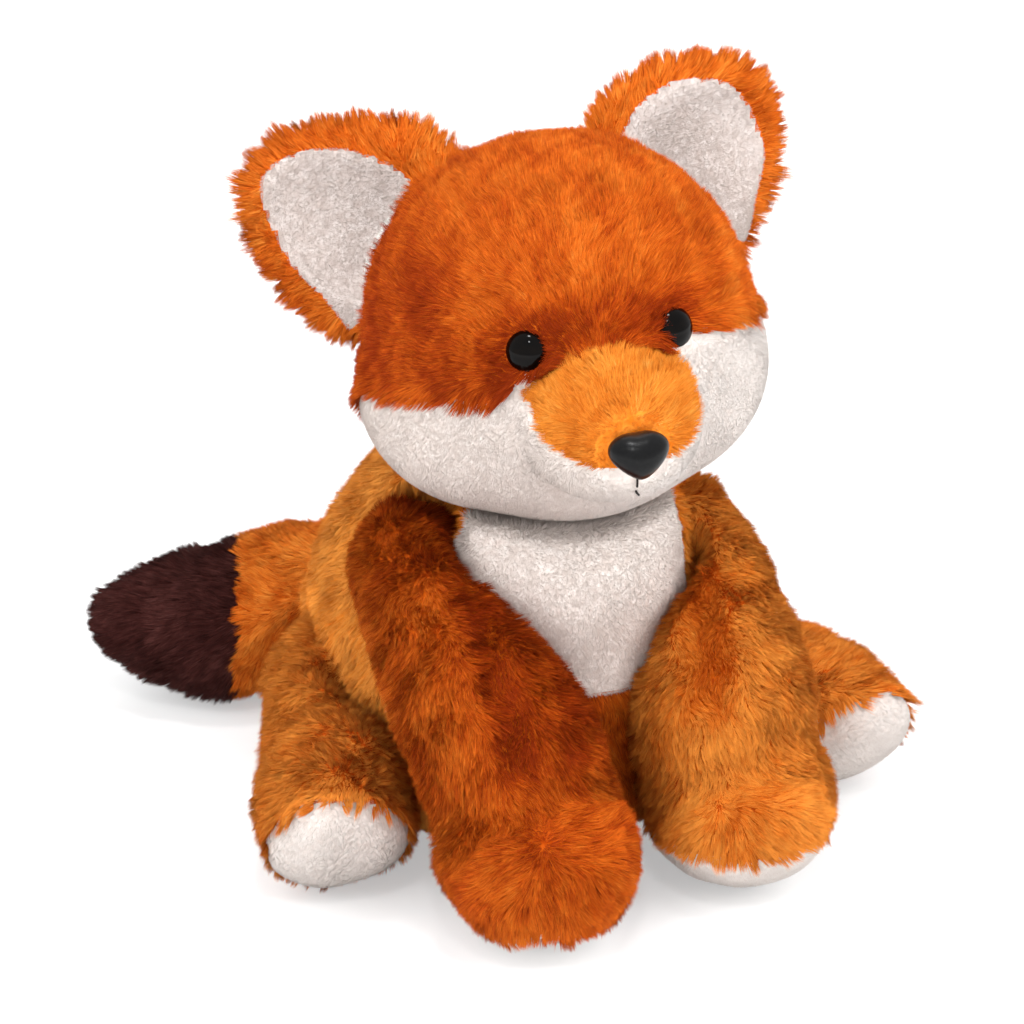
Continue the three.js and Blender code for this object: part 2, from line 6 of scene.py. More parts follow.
import json
import math

import bmesh
import bpy
import numpy as np
from mathutils import Matrix, Vector
from mathutils.bvhtree import BVHTree
from mathutils.kdtree import KDTree


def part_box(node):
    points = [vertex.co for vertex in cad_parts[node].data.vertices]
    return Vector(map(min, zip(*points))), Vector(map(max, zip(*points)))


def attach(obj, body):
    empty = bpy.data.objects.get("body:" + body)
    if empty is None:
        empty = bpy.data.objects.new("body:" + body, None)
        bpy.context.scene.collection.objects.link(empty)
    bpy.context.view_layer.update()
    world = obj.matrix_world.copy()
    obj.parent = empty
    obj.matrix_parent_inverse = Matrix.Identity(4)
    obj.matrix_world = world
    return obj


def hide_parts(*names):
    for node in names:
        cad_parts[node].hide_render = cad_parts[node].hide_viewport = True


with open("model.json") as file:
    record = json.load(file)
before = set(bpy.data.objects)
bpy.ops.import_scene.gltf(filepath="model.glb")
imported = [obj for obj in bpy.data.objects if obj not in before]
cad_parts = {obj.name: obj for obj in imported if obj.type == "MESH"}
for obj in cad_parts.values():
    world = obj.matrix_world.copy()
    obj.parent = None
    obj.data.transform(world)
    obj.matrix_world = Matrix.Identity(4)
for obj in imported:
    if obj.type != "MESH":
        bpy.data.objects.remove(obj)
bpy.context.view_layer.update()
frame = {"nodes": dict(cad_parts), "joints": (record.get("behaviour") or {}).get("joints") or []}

MM = 0.001
SMALLEST = 1e-9
SIDES = ("left", "right")

# The head's frame: its middle is the neck's pivot, and it is turned and rolled a little
HEAD_TURN = math.radians(-10)
HEAD_ROLL = math.radians(-4)

# Camera: the direction it looks from, its distance and what it looks at
CAMERA_AZIMUTH = math.radians(-24)
CAMERA_ELEVATION = math.radians(24)
CAMERA_DISTANCE = 1.15
CAMERA_TARGET = Vector((6.8, 37.2, 82.6)) * MM
CAMERA_LENS = 131.4
SENSOR_WIDTH = 36.0

# Lights: name, azimuth and elevation in degrees, distance and size in metres, power in watts
LIGHTS = (
    ("key", 44, 34, 1.5, 1.4, 21.0),
    ("top", -22, 82, 1.4, 0.2, 5.5),
    ("left", -78, 40, 1.6, 1.4, 17.0),
    ("front", -40, 4, 1.6, 1.4, 13.0),
    ("back", 165, 40, 1.6, 0.9, 5.0),
    ("glint", -26, 52, 1.4, 0.12, 2.4),
)
LARGE_LAMP = 1.0
WORLD_LEVEL = 0.61
FLOOR_SIZE = 6.0

# The floor: its colours in thrown light and to the camera, its glow to the camera, and where that rises
FLOOR_GREYS = ((0.88, 0.88, 0.88, 1), (0.62, 0.62, 0.62, 1))
FLOOR_GLOW = 0.4
GLOW_RISE = (0.3, 1.2)

# Ripples: how many waves make one, and the range of their pitches
RIPPLE_WAVES = 9
RIPPLE_PITCHES = (0.6, 1.7)
SEEDS = {
    "wander": 31, "lean": 32, "length": 33, "patch": 41, "speckle": 42, "rim": 43, "parting_shade": 44,
    "ragged": 51, "lump": 61,
}
FIRST_PILE_SEED = 100

# Skins: the size of their mesh, and how they are smoothed
VOXEL = 2.0 * MM
SAME_CORNER = 0.001 * MM
SMOOTH_STEPS = 36
SMOOTH_PULL = 0.5
FIN_THICKNESS = 7 * MM
FIN_ROUNDS = 3
FIN_SPREAD = 2
LUMP_SIZE = 24 * MM
LUMP_HEIGHT = 0.45 * MM
FLOOR_CLEARANCE = 0.3 * MM
SKIN_MOST_SINK = 0.3

# Filling: how deep it lies under the outer form, at most which share of its thickness, and its smoothing
FILLING_DEPTH = 5.5 * MM
FILLING_MOST_SINK = 0.42
FILLING_SMOOTH_STEPS = 60
FILLING_CLEARANCE = FLOOR_CLEARANCE + MM

# The neck: the head's turns that get room, how far from the head the torso is smoothed and drawn up
NECK_TURNS = (-30, -20, -10, 0, 10, 20, 30)
NECK_SMOOTHING = (16 * MM, 6 * MM)
NECK_SEARCH = 20 * MM
NECK_REACH = 12 * MM
NECK_FULL_PULL = 5 * MM
NECK_STEPS = 8

# Rays inside a form: their start below its surface, and the way, steps and end of the one that counts walls
RAY_START = 0.05 * MM
PROBE_WAY = Vector((0.61, -0.35, 0.71))
PROBE_STEP = 0.01 * MM
MOST_WALLS = 40

# How far the forms of other bodies are looked for, and how soft the edge between two covers is
ROOM_REACH = 25 * MM
COVER_SOFTNESS = 1.2 * MM

# Shades of the pile, from the darkest to the lightest, as screen colours
SHADES = {
    "orange": ((146, 46, 4), (180, 66, 8), (206, 89, 17), (226, 109, 27), (239, 129, 41), (249, 152, 60)),
    "body": ((156, 54, 5), (192, 76, 10), (217, 97, 18), (236, 119, 30), (246, 140, 44), (251, 160, 68)),
    "light_orange": (
        (196, 92, 18), (216, 112, 28), (232, 130, 40), (241, 146, 52), (248, 163, 68), (252, 182, 92),
    ),
    "white": (
        (206, 192, 184), (216, 203, 195), (226, 215, 208), (234, 225, 219), (240, 233, 228), (244, 239, 235),
    ),
    # The lining's darker shades carry the painted shade of the ears' folds
    "lining": (
        (190, 175, 167), (202, 188, 181), (213, 201, 195), (224, 214, 209), (235, 227, 223), (243, 237, 233),
    ),
    "dark": ((30, 11, 9), (40, 15, 13), (50, 20, 17), (64, 29, 26), (80, 42, 38), (98, 58, 54)),
}

# Pile of each kind: depth of the skin under the outer form, strands per square millimetre, their length,
# lean from upright in degrees and width, how far tips gather in tufts, the size of a tuft, and how much
# the shading differs between tufts
PILES = {
    "long": dict(depth=2.4, count=10, length=4.7, lean=47, width=0.21, gather=0.46, tuft=1.6, spread=0.75),
    "crown": dict(depth=2.0, count=11, length=4.0, lean=46, width=0.19, gather=0.42, tuft=1.4, spread=0.7),
    "muzzle": dict(depth=1.7, count=10, length=3.4, lean=52, width=0.19, gather=0.35, tuft=1.3, spread=0.45),
    "velour": dict(depth=0.5, count=14, length=1.05, lean=58, width=0.22, gather=0.0, tuft=1.0, spread=0.1),
    "fringe": dict(depth=2.2, count=9, length=6.2, lean=46, width=0.22, gather=0.5, tuft=2.4, spread=0.5),
    "tail": dict(depth=2.4, count=9, length=5.4, lean=50, width=0.23, gather=0.55, tuft=2.0, spread=0.7),
}
MOST_STRANDS = 99000

# Each cover's pile, shades and material slot
COVERS = {
    "torso_cover": ("long", "body", "orange_plush"),
    "chest_bib": ("velour", "white", "white_plush"),
    "head_crown_cover": ("crown", "orange", "orange_plush"),
    "cheek_cover": ("velour", "white", "white_plush"),
    "muzzle_cover": ("muzzle", "light_orange", "short_orange_plush"),
    "tail_cover": ("long", "orange", "orange_plush"),
    "tail_tip_cover": ("tail", "dark", "dark_plush"),
}
for side in SIDES:
    COVERS[f"ear_back_{side}"] = ("fringe", "orange", "orange_plush")
    COVERS[f"ear_lining_{side}"] = ("velour", "lining", "white_plush")
    COVERS[f"front_leg_cover_{side}"] = ("long", "orange", "orange_plush")
    COVERS[f"front_paw_pad_{side}"] = ("velour", "white", "white_plush")
    COVERS[f"hind_leg_cover_{side}"] = ("long", "orange", "orange_plush")
    COVERS[f"hind_sole_pad_{side}"] = ("velour", "white", "white_plush")

# How many shades lighter the pile of a cover is than the middle one: partly the cover's own colour,
# and partly painted light and shade for how the lamps fall on it, as on the lighter hind legs, torso
# and left front leg and the darker bib, right front leg and right ear lining
TONE_AND_PAINTED_LIGHT_LIFTS = {
    "head_crown_cover": -0.6,
    "muzzle_cover": -0.7,
    "cheek_cover": 0.1,
    "torso_cover": 1.4,
    "tail_cover": 0.8,
    "hind_leg_cover_left": 1.7,
    "hind_leg_cover_right": 1.9,
    "front_leg_cover_left": 1.8,
    "front_leg_cover_right": -0.8,
    "ear_back_left": 0.1,
    "ear_back_right": 0.1,
    "chest_bib": -2.1,
    "ear_lining_right": -2.2,
    "ear_lining_left": -0.9,
}

joints = {joint["child"]: np.array(joint["pos_m"]) for joint in frame["joints"]}
head_centre = joints["head"]
head_matrix = np.array(Matrix.Rotation(HEAD_TURN, 3, "Z") @ Matrix.Rotation(HEAD_ROLL, 3, "Y"))


def unit(vectors):
    """Vectors scaled to a length of one"""
    length = np.linalg.norm(vectors, axis=-1, keepdims=True)
    return vectors / np.maximum(length, SMALLEST)


def smoothstep(low, high, value):
    """0 up to low, 1 from high on, and smooth between. With low above high it falls instead."""
    share = np.clip((value - low) / (high - low), 0, 1)
    return share * share * (3 - 2 * share)


def fade(amount, low, high, value):
    """An amount that comes in smoothly between two values"""
    return amount * smoothstep(low, high, value)


def at_least(low, share):
    """A share of 0..1 that starts from low instead"""
    return low + (1 - low) * share


def ripple(points, size, name):
    """A smooth random value at each point, mostly within -2..2, whose bumps have about the given size"""
    draw = np.random.default_rng(SEEDS[name])
    heading = unit(draw.normal(size=(RIPPLE_WAVES, 3)))
    pitch = draw.uniform(*RIPPLE_PITCHES, RIPPLE_WAVES) * 2 * math.pi / size
    phase = draw.uniform(0, 2 * math.pi, RIPPLE_WAVES)
    return np.sin(points @ (heading * pitch[:, None]).T + phase).sum(1) / math.sqrt(RIPPLE_WAVES / 2)


def linear(colour):
    """A screen colour of 0..255 as a linear colour"""
    share = np.array(colour) / 255
    low = share / 12.92
    high = ((share + 0.055) / 1.055) ** 2.4
    return (*np.where(share <= 0.04045, low, high), 1.0)


def new_object(name, mesh):
    """An object that stands in the scene"""
    made = bpy.data.objects.new(name, mesh)
    bpy.context.scene.collection.objects.link(made)
    return made


def mesh_from_arrays(name, points, corners, sizes, materials, slots):
    """A mesh from flat arrays: corner numbers face by face, and how many corners each face has"""
    mesh = bpy.data.meshes.new(name)
    mesh.vertices.add(len(points))
    mesh.vertices.foreach_set("co", points.astype(np.float32).ravel())
    mesh.loops.add(len(corners))
    mesh.loops.foreach_set("vertex_index", corners.astype(np.int32))
    mesh.polygons.add(len(sizes))
    starts = np.concatenate(([0], np.cumsum(sizes)[:-1])).astype(np.int32)
    mesh.polygons.foreach_set("loop_start", starts)
    mesh.polygons.foreach_set("material_index", slots.astype(np.int32))
    mesh.polygons.foreach_set("use_smooth", np.ones(len(sizes), bool))
    for material in materials:
        mesh.materials.append(material)
    mesh.update(calc_edges=True)
    mesh.validate()
    return mesh


# Materials


def add_node(tree, kind, inputs):
    """A new shader node, with a value or another node's output for each of the given inputs"""
    node = tree.nodes.new(kind)
    for name, value in inputs.items():
        if isinstance(value, bpy.types.NodeSocket):
            tree.links.new(value, node.inputs[name])
        else:
            node.inputs[name].default_value = value
    return node


def plain_material(name, colour, roughness, sheen=0.0, specular=0.3):
    """One colour on one shader, with a sheen of the same colour"""
    material = bpy.data.materials.new(name)
    material.use_nodes = True
    shader = material.node_tree.nodes["Principled BSDF"]
    shader.inputs["Base Color"].default_value = linear(colour)
    shader.inputs["Roughness"].default_value = roughness
    shader.inputs["Specular IOR Level"].default_value = specular
    shader.inputs["Sheen Weight"].default_value = sheen
    shader.inputs["Sheen Tint"].default_value = linear(colour)
    return material


# Patterns: the detail of their noise, and the values between which the two colours mix
NOISE_DETAIL = 4.0
PATTERN_ENDS = (0.35, 0.65)


def patterned_material(name, dark, light, size, roughness, bump, sheen=0.0, specular=0.3):
    """Two colours mixed by noise, with a bump from the same noise. size is the pattern's, in metres."""
    material = plain_material(name, light, roughness, sheen, specular)
    tree = material.node_tree
    shader = tree.nodes["Principled BSDF"]
    place = add_node(tree, "ShaderNodeTexCoord", {}).outputs["Object"]
    noise = {"Scale": 1 / size, "Detail": NOISE_DETAIL, "Vector": place}
    pattern = add_node(tree, "ShaderNodeTexNoise", noise).outputs["Fac"]
    ramp = add_node(tree, "ShaderNodeValToRGB", {"Fac": pattern})
    for element, position, colour in zip(ramp.color_ramp.elements, PATTERN_ENDS, (dark, light)):
        element.position = position
        element.color = linear(colour)
    relief = add_node(tree, "ShaderNodeBump", {"Strength": bump, "Distance": size / 2, "Height": pattern})
    tree.links.new(ramp.outputs["Color"], shader.inputs["Base Color"])
    tree.links.new(relief.outputs["Normal"], shader.inputs["Normal"])
    return material


PILE_MATERIALS = {
    name: [
        plain_material(f"{name}_pile_{i}", shade, roughness=0.8, sheen=0.2, specular=0.12)
        for i, shade in enumerate(shades)
    ]
    for name, shades in SHADES.items()
}
# Skins: noise between the palette's second and fourth shades, the backing's own colour, a little darker than
# the pile so that it also stands as painted shade in the pile's depths
SKIN_MATERIALS = {
    name: patterned_material(
        f"{name}_skin", shades[1], shades[3], size=2.5 * MM, roughness=0.9, bump=0.3, sheen=0.1, specular=0.05
    )
    for name, shades in SHADES.items()
}
FILLING_MATERIAL = patterned_material(
    "filling", (222, 221, 214), (247, 246, 242), size=6 * MM, roughness=1.0, bump=0.8, sheen=0.4, specular=0.1
)


# Skins


def joined_mesh(nodes):
    """The nodes' meshes as one, with shared corners merged"""
    joined = bmesh.new()
    for node in nodes:
        joined.from_mesh(frame["nodes"][node].data)
    bmesh.ops.remove_doubles(joined, verts=joined.verts, dist=SAME_CORNER)
    mesh = bpy.data.meshes.new("joined")
    joined.to_mesh(mesh)
    joined.free()
    return mesh


def tree_of(node):
    """A node's surface, to look up distances and rays"""
    mesh = joined_mesh([node])
    points = [v.co for v in mesh.vertices]
    return BVHTree.FromPolygons(points, [tuple(p.vertices) for p in mesh.polygons])


def outer_part(points, quads):
    """The part of a mesh that has the most corners, without any bubbles inside it"""
    edges = edges_of(quads)
    label = np.arange(len(points))
    while True:
        low = np.minimum(label[edges[:, 0]], label[edges[:, 1]])
        spread = label.copy()
        np.minimum.at(spread, edges[:, 0], low)
        np.minimum.at(spread, edges[:, 1], low)
        spread = spread[spread]
        if (spread == label).all():
            break
        label = spread
    names, sizes = np.unique(label, return_counts=True)
    kept = label == names[sizes.argmax()]
    number = np.cumsum(kept) - 1
    return points[kept], number[quads[kept[quads[:, 0]]]]


def remeshed(nodes):
    """One closed form over all of the nodes, as corners and quads"""
    source = new_object("form", joined_mesh(nodes))
    remesh = source.modifiers.new("remesh", "REMESH")
    remesh.mode = "VOXEL"
    remesh.voxel_size = VOXEL
    evaluated = source.evaluated_get(bpy.context.evaluated_depsgraph_get())
    mesh = bpy.data.meshes.new_from_object(evaluated)
    points = np.empty(len(mesh.vertices) * 3, np.float32)
    mesh.vertices.foreach_get("co", points)
    corners = np.empty(len(mesh.loops), np.int32)
    mesh.loops.foreach_get("vertex_index", corners)
    points, quads = outer_part(points.reshape(-1, 3).astype(float), corners.reshape(-1, 4))
    bpy.data.objects.remove(source)
    return points, quads


def edges_of(quads):
    """Every side of every quad, as two corners"""
    return np.concatenate((quads[:, [0, 1]], quads[:, [1, 2]], quads[:, [2, 3]], quads[:, [3, 0]]))


def smoothed(points, quads, share, steps=SMOOTH_STEPS):
    """Corners moved towards the middle of their neighbours, each as far as its share says"""
    count = len(points)
    edges = edges_of(quads)
    degree = np.bincount(edges[:, 0], minlength=count)
    points = points.copy()
    for _ in range(steps):
        for axis in range(3):
            mean = np.bincount(edges[:, 0], points[edges[:, 1], axis], count) / degree
            points[:, axis] += (mean - points[:, axis]) * SMOOTH_PULL * share
    return points


def thickness(points, quads):
    """How thick a form is under each corner"""
    normals = corner_normals(points, quads)
    tree = BVHTree.FromPolygons(points.tolist(), quads.tolist())
    found = np.empty(len(points))
    starts = points - normals * RAY_START
    for i, (start, normal) in enumerate(zip(starts.tolist(), normals.tolist())):
        distance = tree.ray_cast(start, -Vector(normal))[3]
        found[i] = 0 if distance is None else distance
    return found


def corner_normals(points, quads):
    """The normal at each corner, from the quads round it"""
    across = points[quads[:, 2]] - points[quads[:, 0]]
    along = points[quads[:, 3]] - points[quads[:, 1]]
    facing = np.cross(across, along)
    normals = np.zeros_like(points)
    for corner in range(4):
        np.add.at(normals, quads[:, corner], facing)
    return unit(normals)


def distances(tree, points):
    """How far each point lies from a surface"""
    return np.array([tree.find_nearest(point)[3] for point in points.tolist()])


def signed_distances(tree, points, reach):
    """How far each point lies outside a closed form, negative inside, and reach where it is further"""
    found = np.full(len(points), reach)
    for i, point in enumerate(points.tolist()):
        place, normal, _, distance = tree.find_nearest(point, reach)
        if place is not None:
            outside = (Vector(point) - place).dot(normal) >= 0
            found[i] = distance if outside or not holds(tree, point) else -distance
    return found


def holds(tree, point):
    """Whether a closed form holds a point, by how many walls a line from it meets"""
    start, walls = Vector(point), 0
    while walls < MOST_WALLS:
        place = tree.ray_cast(start, PROBE_WAY)[0]
        if place is None:
            break
        walls += 1
        start = place + PROBE_WAY * PROBE_STEP
    return walls % 2 == 1


def without_fins(points, quads):
    """The form with its thin edges smoothed away"""
    edges = edges_of(quads)
    for _ in range(FIN_ROUNDS):
        thin = smoothstep(FIN_THICKNESS, FIN_THICKNESS / 2, thickness(points, quads))
        for _ in range(FIN_SPREAD):
            spread = thin.copy()
            np.maximum.at(spread, edges[:, 0], thin[edges[:, 1]])
            thin = spread
        points = smoothed(points, quads, thin)
    return points


def make_form(name, body, covers, filling):
    """A stuffed form: its outer surface, and how near each corner lies to each of its covers"""
    points, quads = remeshed([*covers, *filling])
    points = smoothed(points, quads, smooth_share(name, covers, points))
    if name != "head":
        points = without_fins(points, quads)
    near = np.stack([distances(tree_of(cover), points) for cover in covers], 1)
    points = folded(name, covers, points, corner_normals(points, quads), near)
    normals = corner_normals(points, quads)
    return {
        "name": name, "body": body, "covers": covers, "filling": filling,
        "points": points, "quads": quads, "normals": normals, "near": near,
        "tree": BVHTree.FromPolygons(points.tolist(), quads.tolist()),
    }


# Smoothing of the head: its share on the ears and at the muzzle's seam, how far inside the outline of an
# ear's lining, in millimetres, and how far from the ears and the seam it is whole again
EAR_SMOOTHING = 0.12
LINING_FLAT = (2, 7)
EAR_REACH = (10 * MM, 26 * MM)
MUZZLE_SMOOTHING = 0.4
MUZZLE_REACH = (3 * MM, 9 * MM)


def smooth_share(name, covers, points):
    """How far each corner is smoothed: less on the ears and at the muzzle's seam"""
    share = np.ones(len(points))
    if name == "head":
        for side in SIDES:
            away = distances(tree_of(f"ear_lining_{side}"), points)
            inside = inside_outline(in_head(points)[:, [0, 2]], LININGS[side])
            flat = np.maximum(smoothstep(*LINING_FLAT, inside), smoothstep(*EAR_REACH, away))
            share *= at_least(EAR_SMOOTHING, flat)
        muzzle = distances(tree_of("muzzle_cover"), points)
        crown = distances(tree_of("head_crown_cover"), points)
        share *= at_least(MUZZLE_SMOOTHING, smoothstep(*MUZZLE_REACH, np.maximum(muzzle, crown)))
    return share


# Creases along the front legs: depth and width, and places along them, in millimetres
CREASES = {
    "front_leg_right": (
        3.0, 4.5, ((-40, -37, 102), (-41, -48, 96), (-43, -61, 89), (-44, -74, 70), (-45, -79, 62)),
    ),
    "front_leg_left": (2.0, 7.5, ((33, -38, 94), (27, -54, 82), (21, -70, 66))),
}

# The valley of the seam between muzzle and crown
MUZZLE_SEAM_DEPTH = 1.5 * MM
MUZZLE_SEAM_WIDTH = 2.2 * MM


def line_distances(points, line):
    """How far points lie from a line of straight pieces, in the same unit"""
    found = np.full(len(points), np.inf)
    line = np.array(line, float)
    for start, end in zip(line, line[1:]):
        step = end - start
        share = np.clip((points - start) @ step / (step @ step), 0, 1)
        found = np.minimum(found, np.linalg.norm(points - start - share[:, None] * step, axis=1))
    return found


def creased(name, points):
    """1 in the middle of a form's crease, and 0 away from it"""
    if name not in CREASES:
        return np.zeros(len(points))
    _, width, line = CREASES[name]
    return np.exp(-((line_distances(points / MM, line) / width) ** 2))


def folded(name, covers, points, normals, near):
    """Corners sunk in the creases and where the muzzle is sewn to the crown, and soft lumps"""
    if name != "head":
        height = LUMP_HEIGHT * ripple(points, LUMP_SIZE, "lump")
        if name in CREASES:
            height -= CREASES[name][0] * MM * creased(name, points)
        return points + normals * height[:, None]
    crown, muzzle = covers.index("head_crown_cover"), covers.index("muzzle_cover")
    seam = np.maximum(near[:, crown], near[:, muzzle])
    depth = MUZZLE_SEAM_DEPTH * np.exp(-((seam / MUZZLE_SEAM_WIDTH) ** 2))
    return points - normals * depth[:, None]


# Height of the seam between crown and cheek, in millimetres above the neck's pivot, by the angle round the
# head from its front, in degrees
CHEEK_LINE = (
    (-180, -70), (-125, -60), (-112, -34), (-98, -16), (-84, -8), (-68, -5), (-50, -2), (-38, -0.8),
    (-31, 0.5), (-26, 7.5), (-20, 9), (20, 11), (27, 12), (34, 11), (41, 10), (50, 8.5), (64, 5.5), (84, 0),
    (98, -12), (112, -34), (125, -60), (180, -70),
)


def above_cheek_line(q):
    """How far places in the head's frame lie above the seam between crown and cheek, in millimetres"""
    angles, heights = zip(*CHEEK_LINE)
    return q[:, 2] - np.interp(np.degrees(np.arctan2(q[:, 0], -q[:, 1])), angles, heights)


def draw_face_lines(form):
    """Sets how near the head's corners lie to the crown and the cheeks, apart from the muzzle and the ears"""
    above = above_cheek_line(in_head(form["points"])) * MM
    near = form["near"]
    crown, cheek = (form["covers"].index(f"{part}_cover") for part in ("head_crown", "cheek"))
    others = [i for i in range(len(form["covers"])) if i not in (crown, cheek)]
    outside = near[:, others].min(1) > near[:, [crown, cheek]].min(1)
    near[outside, crown] = np.maximum(0, -above[outside])
    near[outside, cheek] = np.maximum(0, above[outside])


# Outline of each ear's lining, as places aside and up in the head's frame, in millimetres
LININGS = {
    "right": (
        (-76.6, 44.4), (-72.8, 48.8), (-65.5, 51.6), (-51.7, 51.1), (-42.4, 47.3), (-37.9, 40.6),
        (-41.1, 30.9), (-50.0, 16.7), (-56.5, -3.0), (-63.3, 8.7), (-68.6, 20.8), (-72.6, 32.1),
    ),
    "left": (
        (27.5, 46.1), (34.3, 53.5), (44.0, 57.8), (52.6, 57.9), (61.1, 52.4), (67.5, 43.0), (70.4, 32.3),
        (70.0, 19.8), (66.4, 4.1), (61.0, 8.1), (52.0, 20.8), (41.0, 34.5),
    ),
}

# The fold across each lining, where shade is painted: a line in the same frame, how much darker it is and
# its width in millimetres
FOLDS = {"right": ((-41, 46), (-45, 33), (-50, 21)), "left": ((40, 42), (50, 40), (60, 24), (65, 10))}
FOLD_SHADE = 2.6
FOLD_WIDTH = 8

# The ears' fronts face forward more than this, and lie nearer to an ear than to the crown, but for a margin
EAR_FRONT = 0.05
EAR_MARGIN = 2 * MM
APART = 9 * MM


def inside_outline(points, outline):
    """How far flat places lie inside a closed outline, negative outside"""
    outline = np.array(outline, float)
    closed = np.concatenate((outline, outline[:1]))
    held = np.zeros(len(points), bool)
    for (x0, y0), (x1, y1) in zip(closed, closed[1:]):
        crosses = (y0 > points[:, 1]) != (y1 > points[:, 1])
        rise = y1 - y0 if y1 != y0 else 1.0
        held ^= crosses & (points[:, 0] < x0 + (points[:, 1] - y0) / rise * (x1 - x0))
    away = line_distances(points, closed)
    return np.where(held, away, -away)


def draw_linings(form):
    """Sets how near the ears' corners lie to the linings, which show on their fronts only"""
    q = in_head(form["points"])
    front = (form["normals"] @ head_matrix)[:, 1] < EAR_FRONT
    near = form["near"]
    crown = form["covers"].index("head_crown_cover")
    for side in SIDES:
        back, lining = (form["covers"].index(f"ear_{part}_{side}") for part in ("back", "lining"))
        ear = np.minimum(near[:, back], near[:, lining]) < near[:, crown] + EAR_MARGIN
        inside = inside_outline(q[:, [0, 2]], LININGS[side]) * MM
        inside[~front] = -APART
        near[ear, lining] = np.maximum(0, -inside[ear])
        near[ear, back] = np.maximum(near[ear, back] * (inside[ear] < 0), inside[ear])
        near[ear & (inside > 0), crown] += APART


# Height of the left front paw's pad
PAD_HEIGHT = 20 * MM


def show_paw_pad(form):
    """The pad comes up at the front of the paw"""
    leg, pad = 0, 1
    height = PAD_HEIGHT - form["points"][:, 2]
    form["near"][:, pad] = np.maximum(0, -height)
    form["near"][:, leg] = np.maximum(0, height)


# The bib: its lower end, its left edge, and where it reaches under the right front leg
BIB_LOW = 57 * MM
BIB_LEFT = 32 * MM
BIB_TUCK = 6 * MM
BIB_TUCK_ASIDE = (-8 * MM, -16 * MM)
BIB_TUCK_FORWARD = (-12 * MM, -22 * MM)
BIB_END = 5 * MM


def end_bib(form):
    """The bib ends where the front legs meet, and reaches under the right one"""
    torso, bib = (form["covers"].index(cover) for cover in ("torso_cover", "chest_bib"))
    x, y, z = form["points"].T
    near = form["near"]
    near[:, bib] += APART * (x > BIB_LEFT)
    near[:, torso] += fade(BIB_TUCK, *BIB_TUCK_ASIDE, x) * smoothstep(*BIB_TUCK_FORWARD, y)
    low = z < BIB_LOW
    near[low, bib] += near[low, torso] + BIB_END
    near[low, torso] = 0


def cover_shares(near):
    """How much of each cover a place belongs to, from its distances to them"""
    weight = np.exp(-(near - near.min(1, keepdims=True)) / COVER_SOFTNESS)
    return weight / weight.sum(1, keepdims=True)


def add_room(forms):
    """Room at each corner: how far it lies outside the forms of the other bodies"""
    for form in forms:
        room = np.full(len(form["points"]), ROOM_REACH)
        for other in forms:
            if other["body"] != form["body"]:
                room = np.minimum(room, signed_distances(other["tree"], form["points"], ROOM_REACH))
        form["room"] = room


def close_neck(torso, head):
    """The torso drawn up to the head, as far as the head's turn leaves room"""
    points, quads = torso["points"], torso["quads"]
    share = smoothstep(*NECK_SMOOTHING, np.abs(signed_distances(head["tree"], points, NECK_SEARCH)))
    points = smoothed(points, quads, share)
    room = np.full(len(points), NECK_REACH)
    for turn in np.radians(NECK_TURNS):
        back = np.array(Matrix.Rotation(-turn, 3, "Z"))
        turned = (points - head_centre) @ back.T + head_centre
        room = np.minimum(room, signed_distances(head["tree"], turned, NECK_REACH))
    nearest = np.array([head["tree"].find_nearest(point)[0] for point in points.tolist()])
    pull = smoothstep(NECK_REACH, NECK_FULL_PULL, room) * room
    move = smoothed(unit(nearest - points) * pull[:, None], quads, np.ones(len(points)), NECK_STEPS)
    torso["points"] = points + move
    torso["normals"] = corner_normals(torso["points"], quads)
    torso["near"] = np.stack([distances(tree_of(cover), torso["points"]) for cover in torso["covers"]], 1)
    torso["tree"] = BVHTree.FromPolygons(torso["points"].tolist(), quads.tolist())


def sink(form, depth, share):
    """The form's corners moved inward by a depth and at most a share of its thickness, above the floor"""
    depth = np.minimum(depth, form["thickness"] * share)
    points = form["points"] - form["normals"] * depth[:, None]
    points[:, 2] = np.maximum(points[:, 2], FLOOR_CLEARANCE)
    return points


def make_skin(form):
    """The cloth under the pile, which lies deeper where the pile is longer"""
    depths = np.array([PILES[COVERS[cover][0]]["depth"] * MM for cover in form["covers"]])
    form["thickness"] = thickness(form["points"], form["quads"])
    form["skin"] = sink(form, cover_shares(form["near"]) @ depths, SKIN_MOST_SINK)
    quads = form["quads"]
    owner = form["near"][quads].mean(1).argmin(1)
    materials = [SKIN_MATERIALS[COVERS[cover][1]] for cover in form["covers"]]
    corners, sizes = quads.ravel(), np.full(len(quads), 4)
    mesh = mesh_from_arrays(form["name"], form["skin"], corners, sizes, materials, owner)
    skin = new_object(f"{form['name']}_skin", mesh)
    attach(skin, form["body"])
    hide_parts(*form["covers"])
    return skin


def make_filling(form):
    """The soft filling inside a skin"""
    if not form["filling"]:
        return
    quads = form["quads"]
    points = sink(form, FILLING_DEPTH, FILLING_MOST_SINK)
    points = smoothed(points, quads, np.ones(len(points)), FILLING_SMOOTH_STEPS)
    points[:, 2] = np.maximum(points[:, 2], FILLING_CLEARANCE)
    sizes = np.full(len(quads), 4)
    slots = np.zeros(len(quads))
    mesh = mesh_from_arrays("filling", points, quads.ravel(), sizes, [FILLING_MATERIAL], slots)
    filling = new_object(f"{form['name']}_filling", mesh)
    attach(filling, form["body"])
    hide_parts(form["filling"][0])


# Pile

# How a pile stands: how far it ripples and strays from its flow, and how its shade ripples and varies
LONG_PILE = dict(unrest=1.0, stray=0.14, shade_unrest=0.3, shade_spread=0.7)
VELOUR = dict(unrest=0.1, stray=0.7, shade_unrest=0.03, shade_spread=0.4)

# Ripples of the pile: the size of their bumps, and how far they turn the flow, the lean and the length
WANDER_SIZE = 18 * MM
WANDER = 0.3
LEAN_RIPPLE_SIZE = 10 * MM
LEAN_RIPPLE = 0.14
LENGTH_RIPPLE_SIZE = 7 * MM
LENGTH_RIPPLE = 0.08

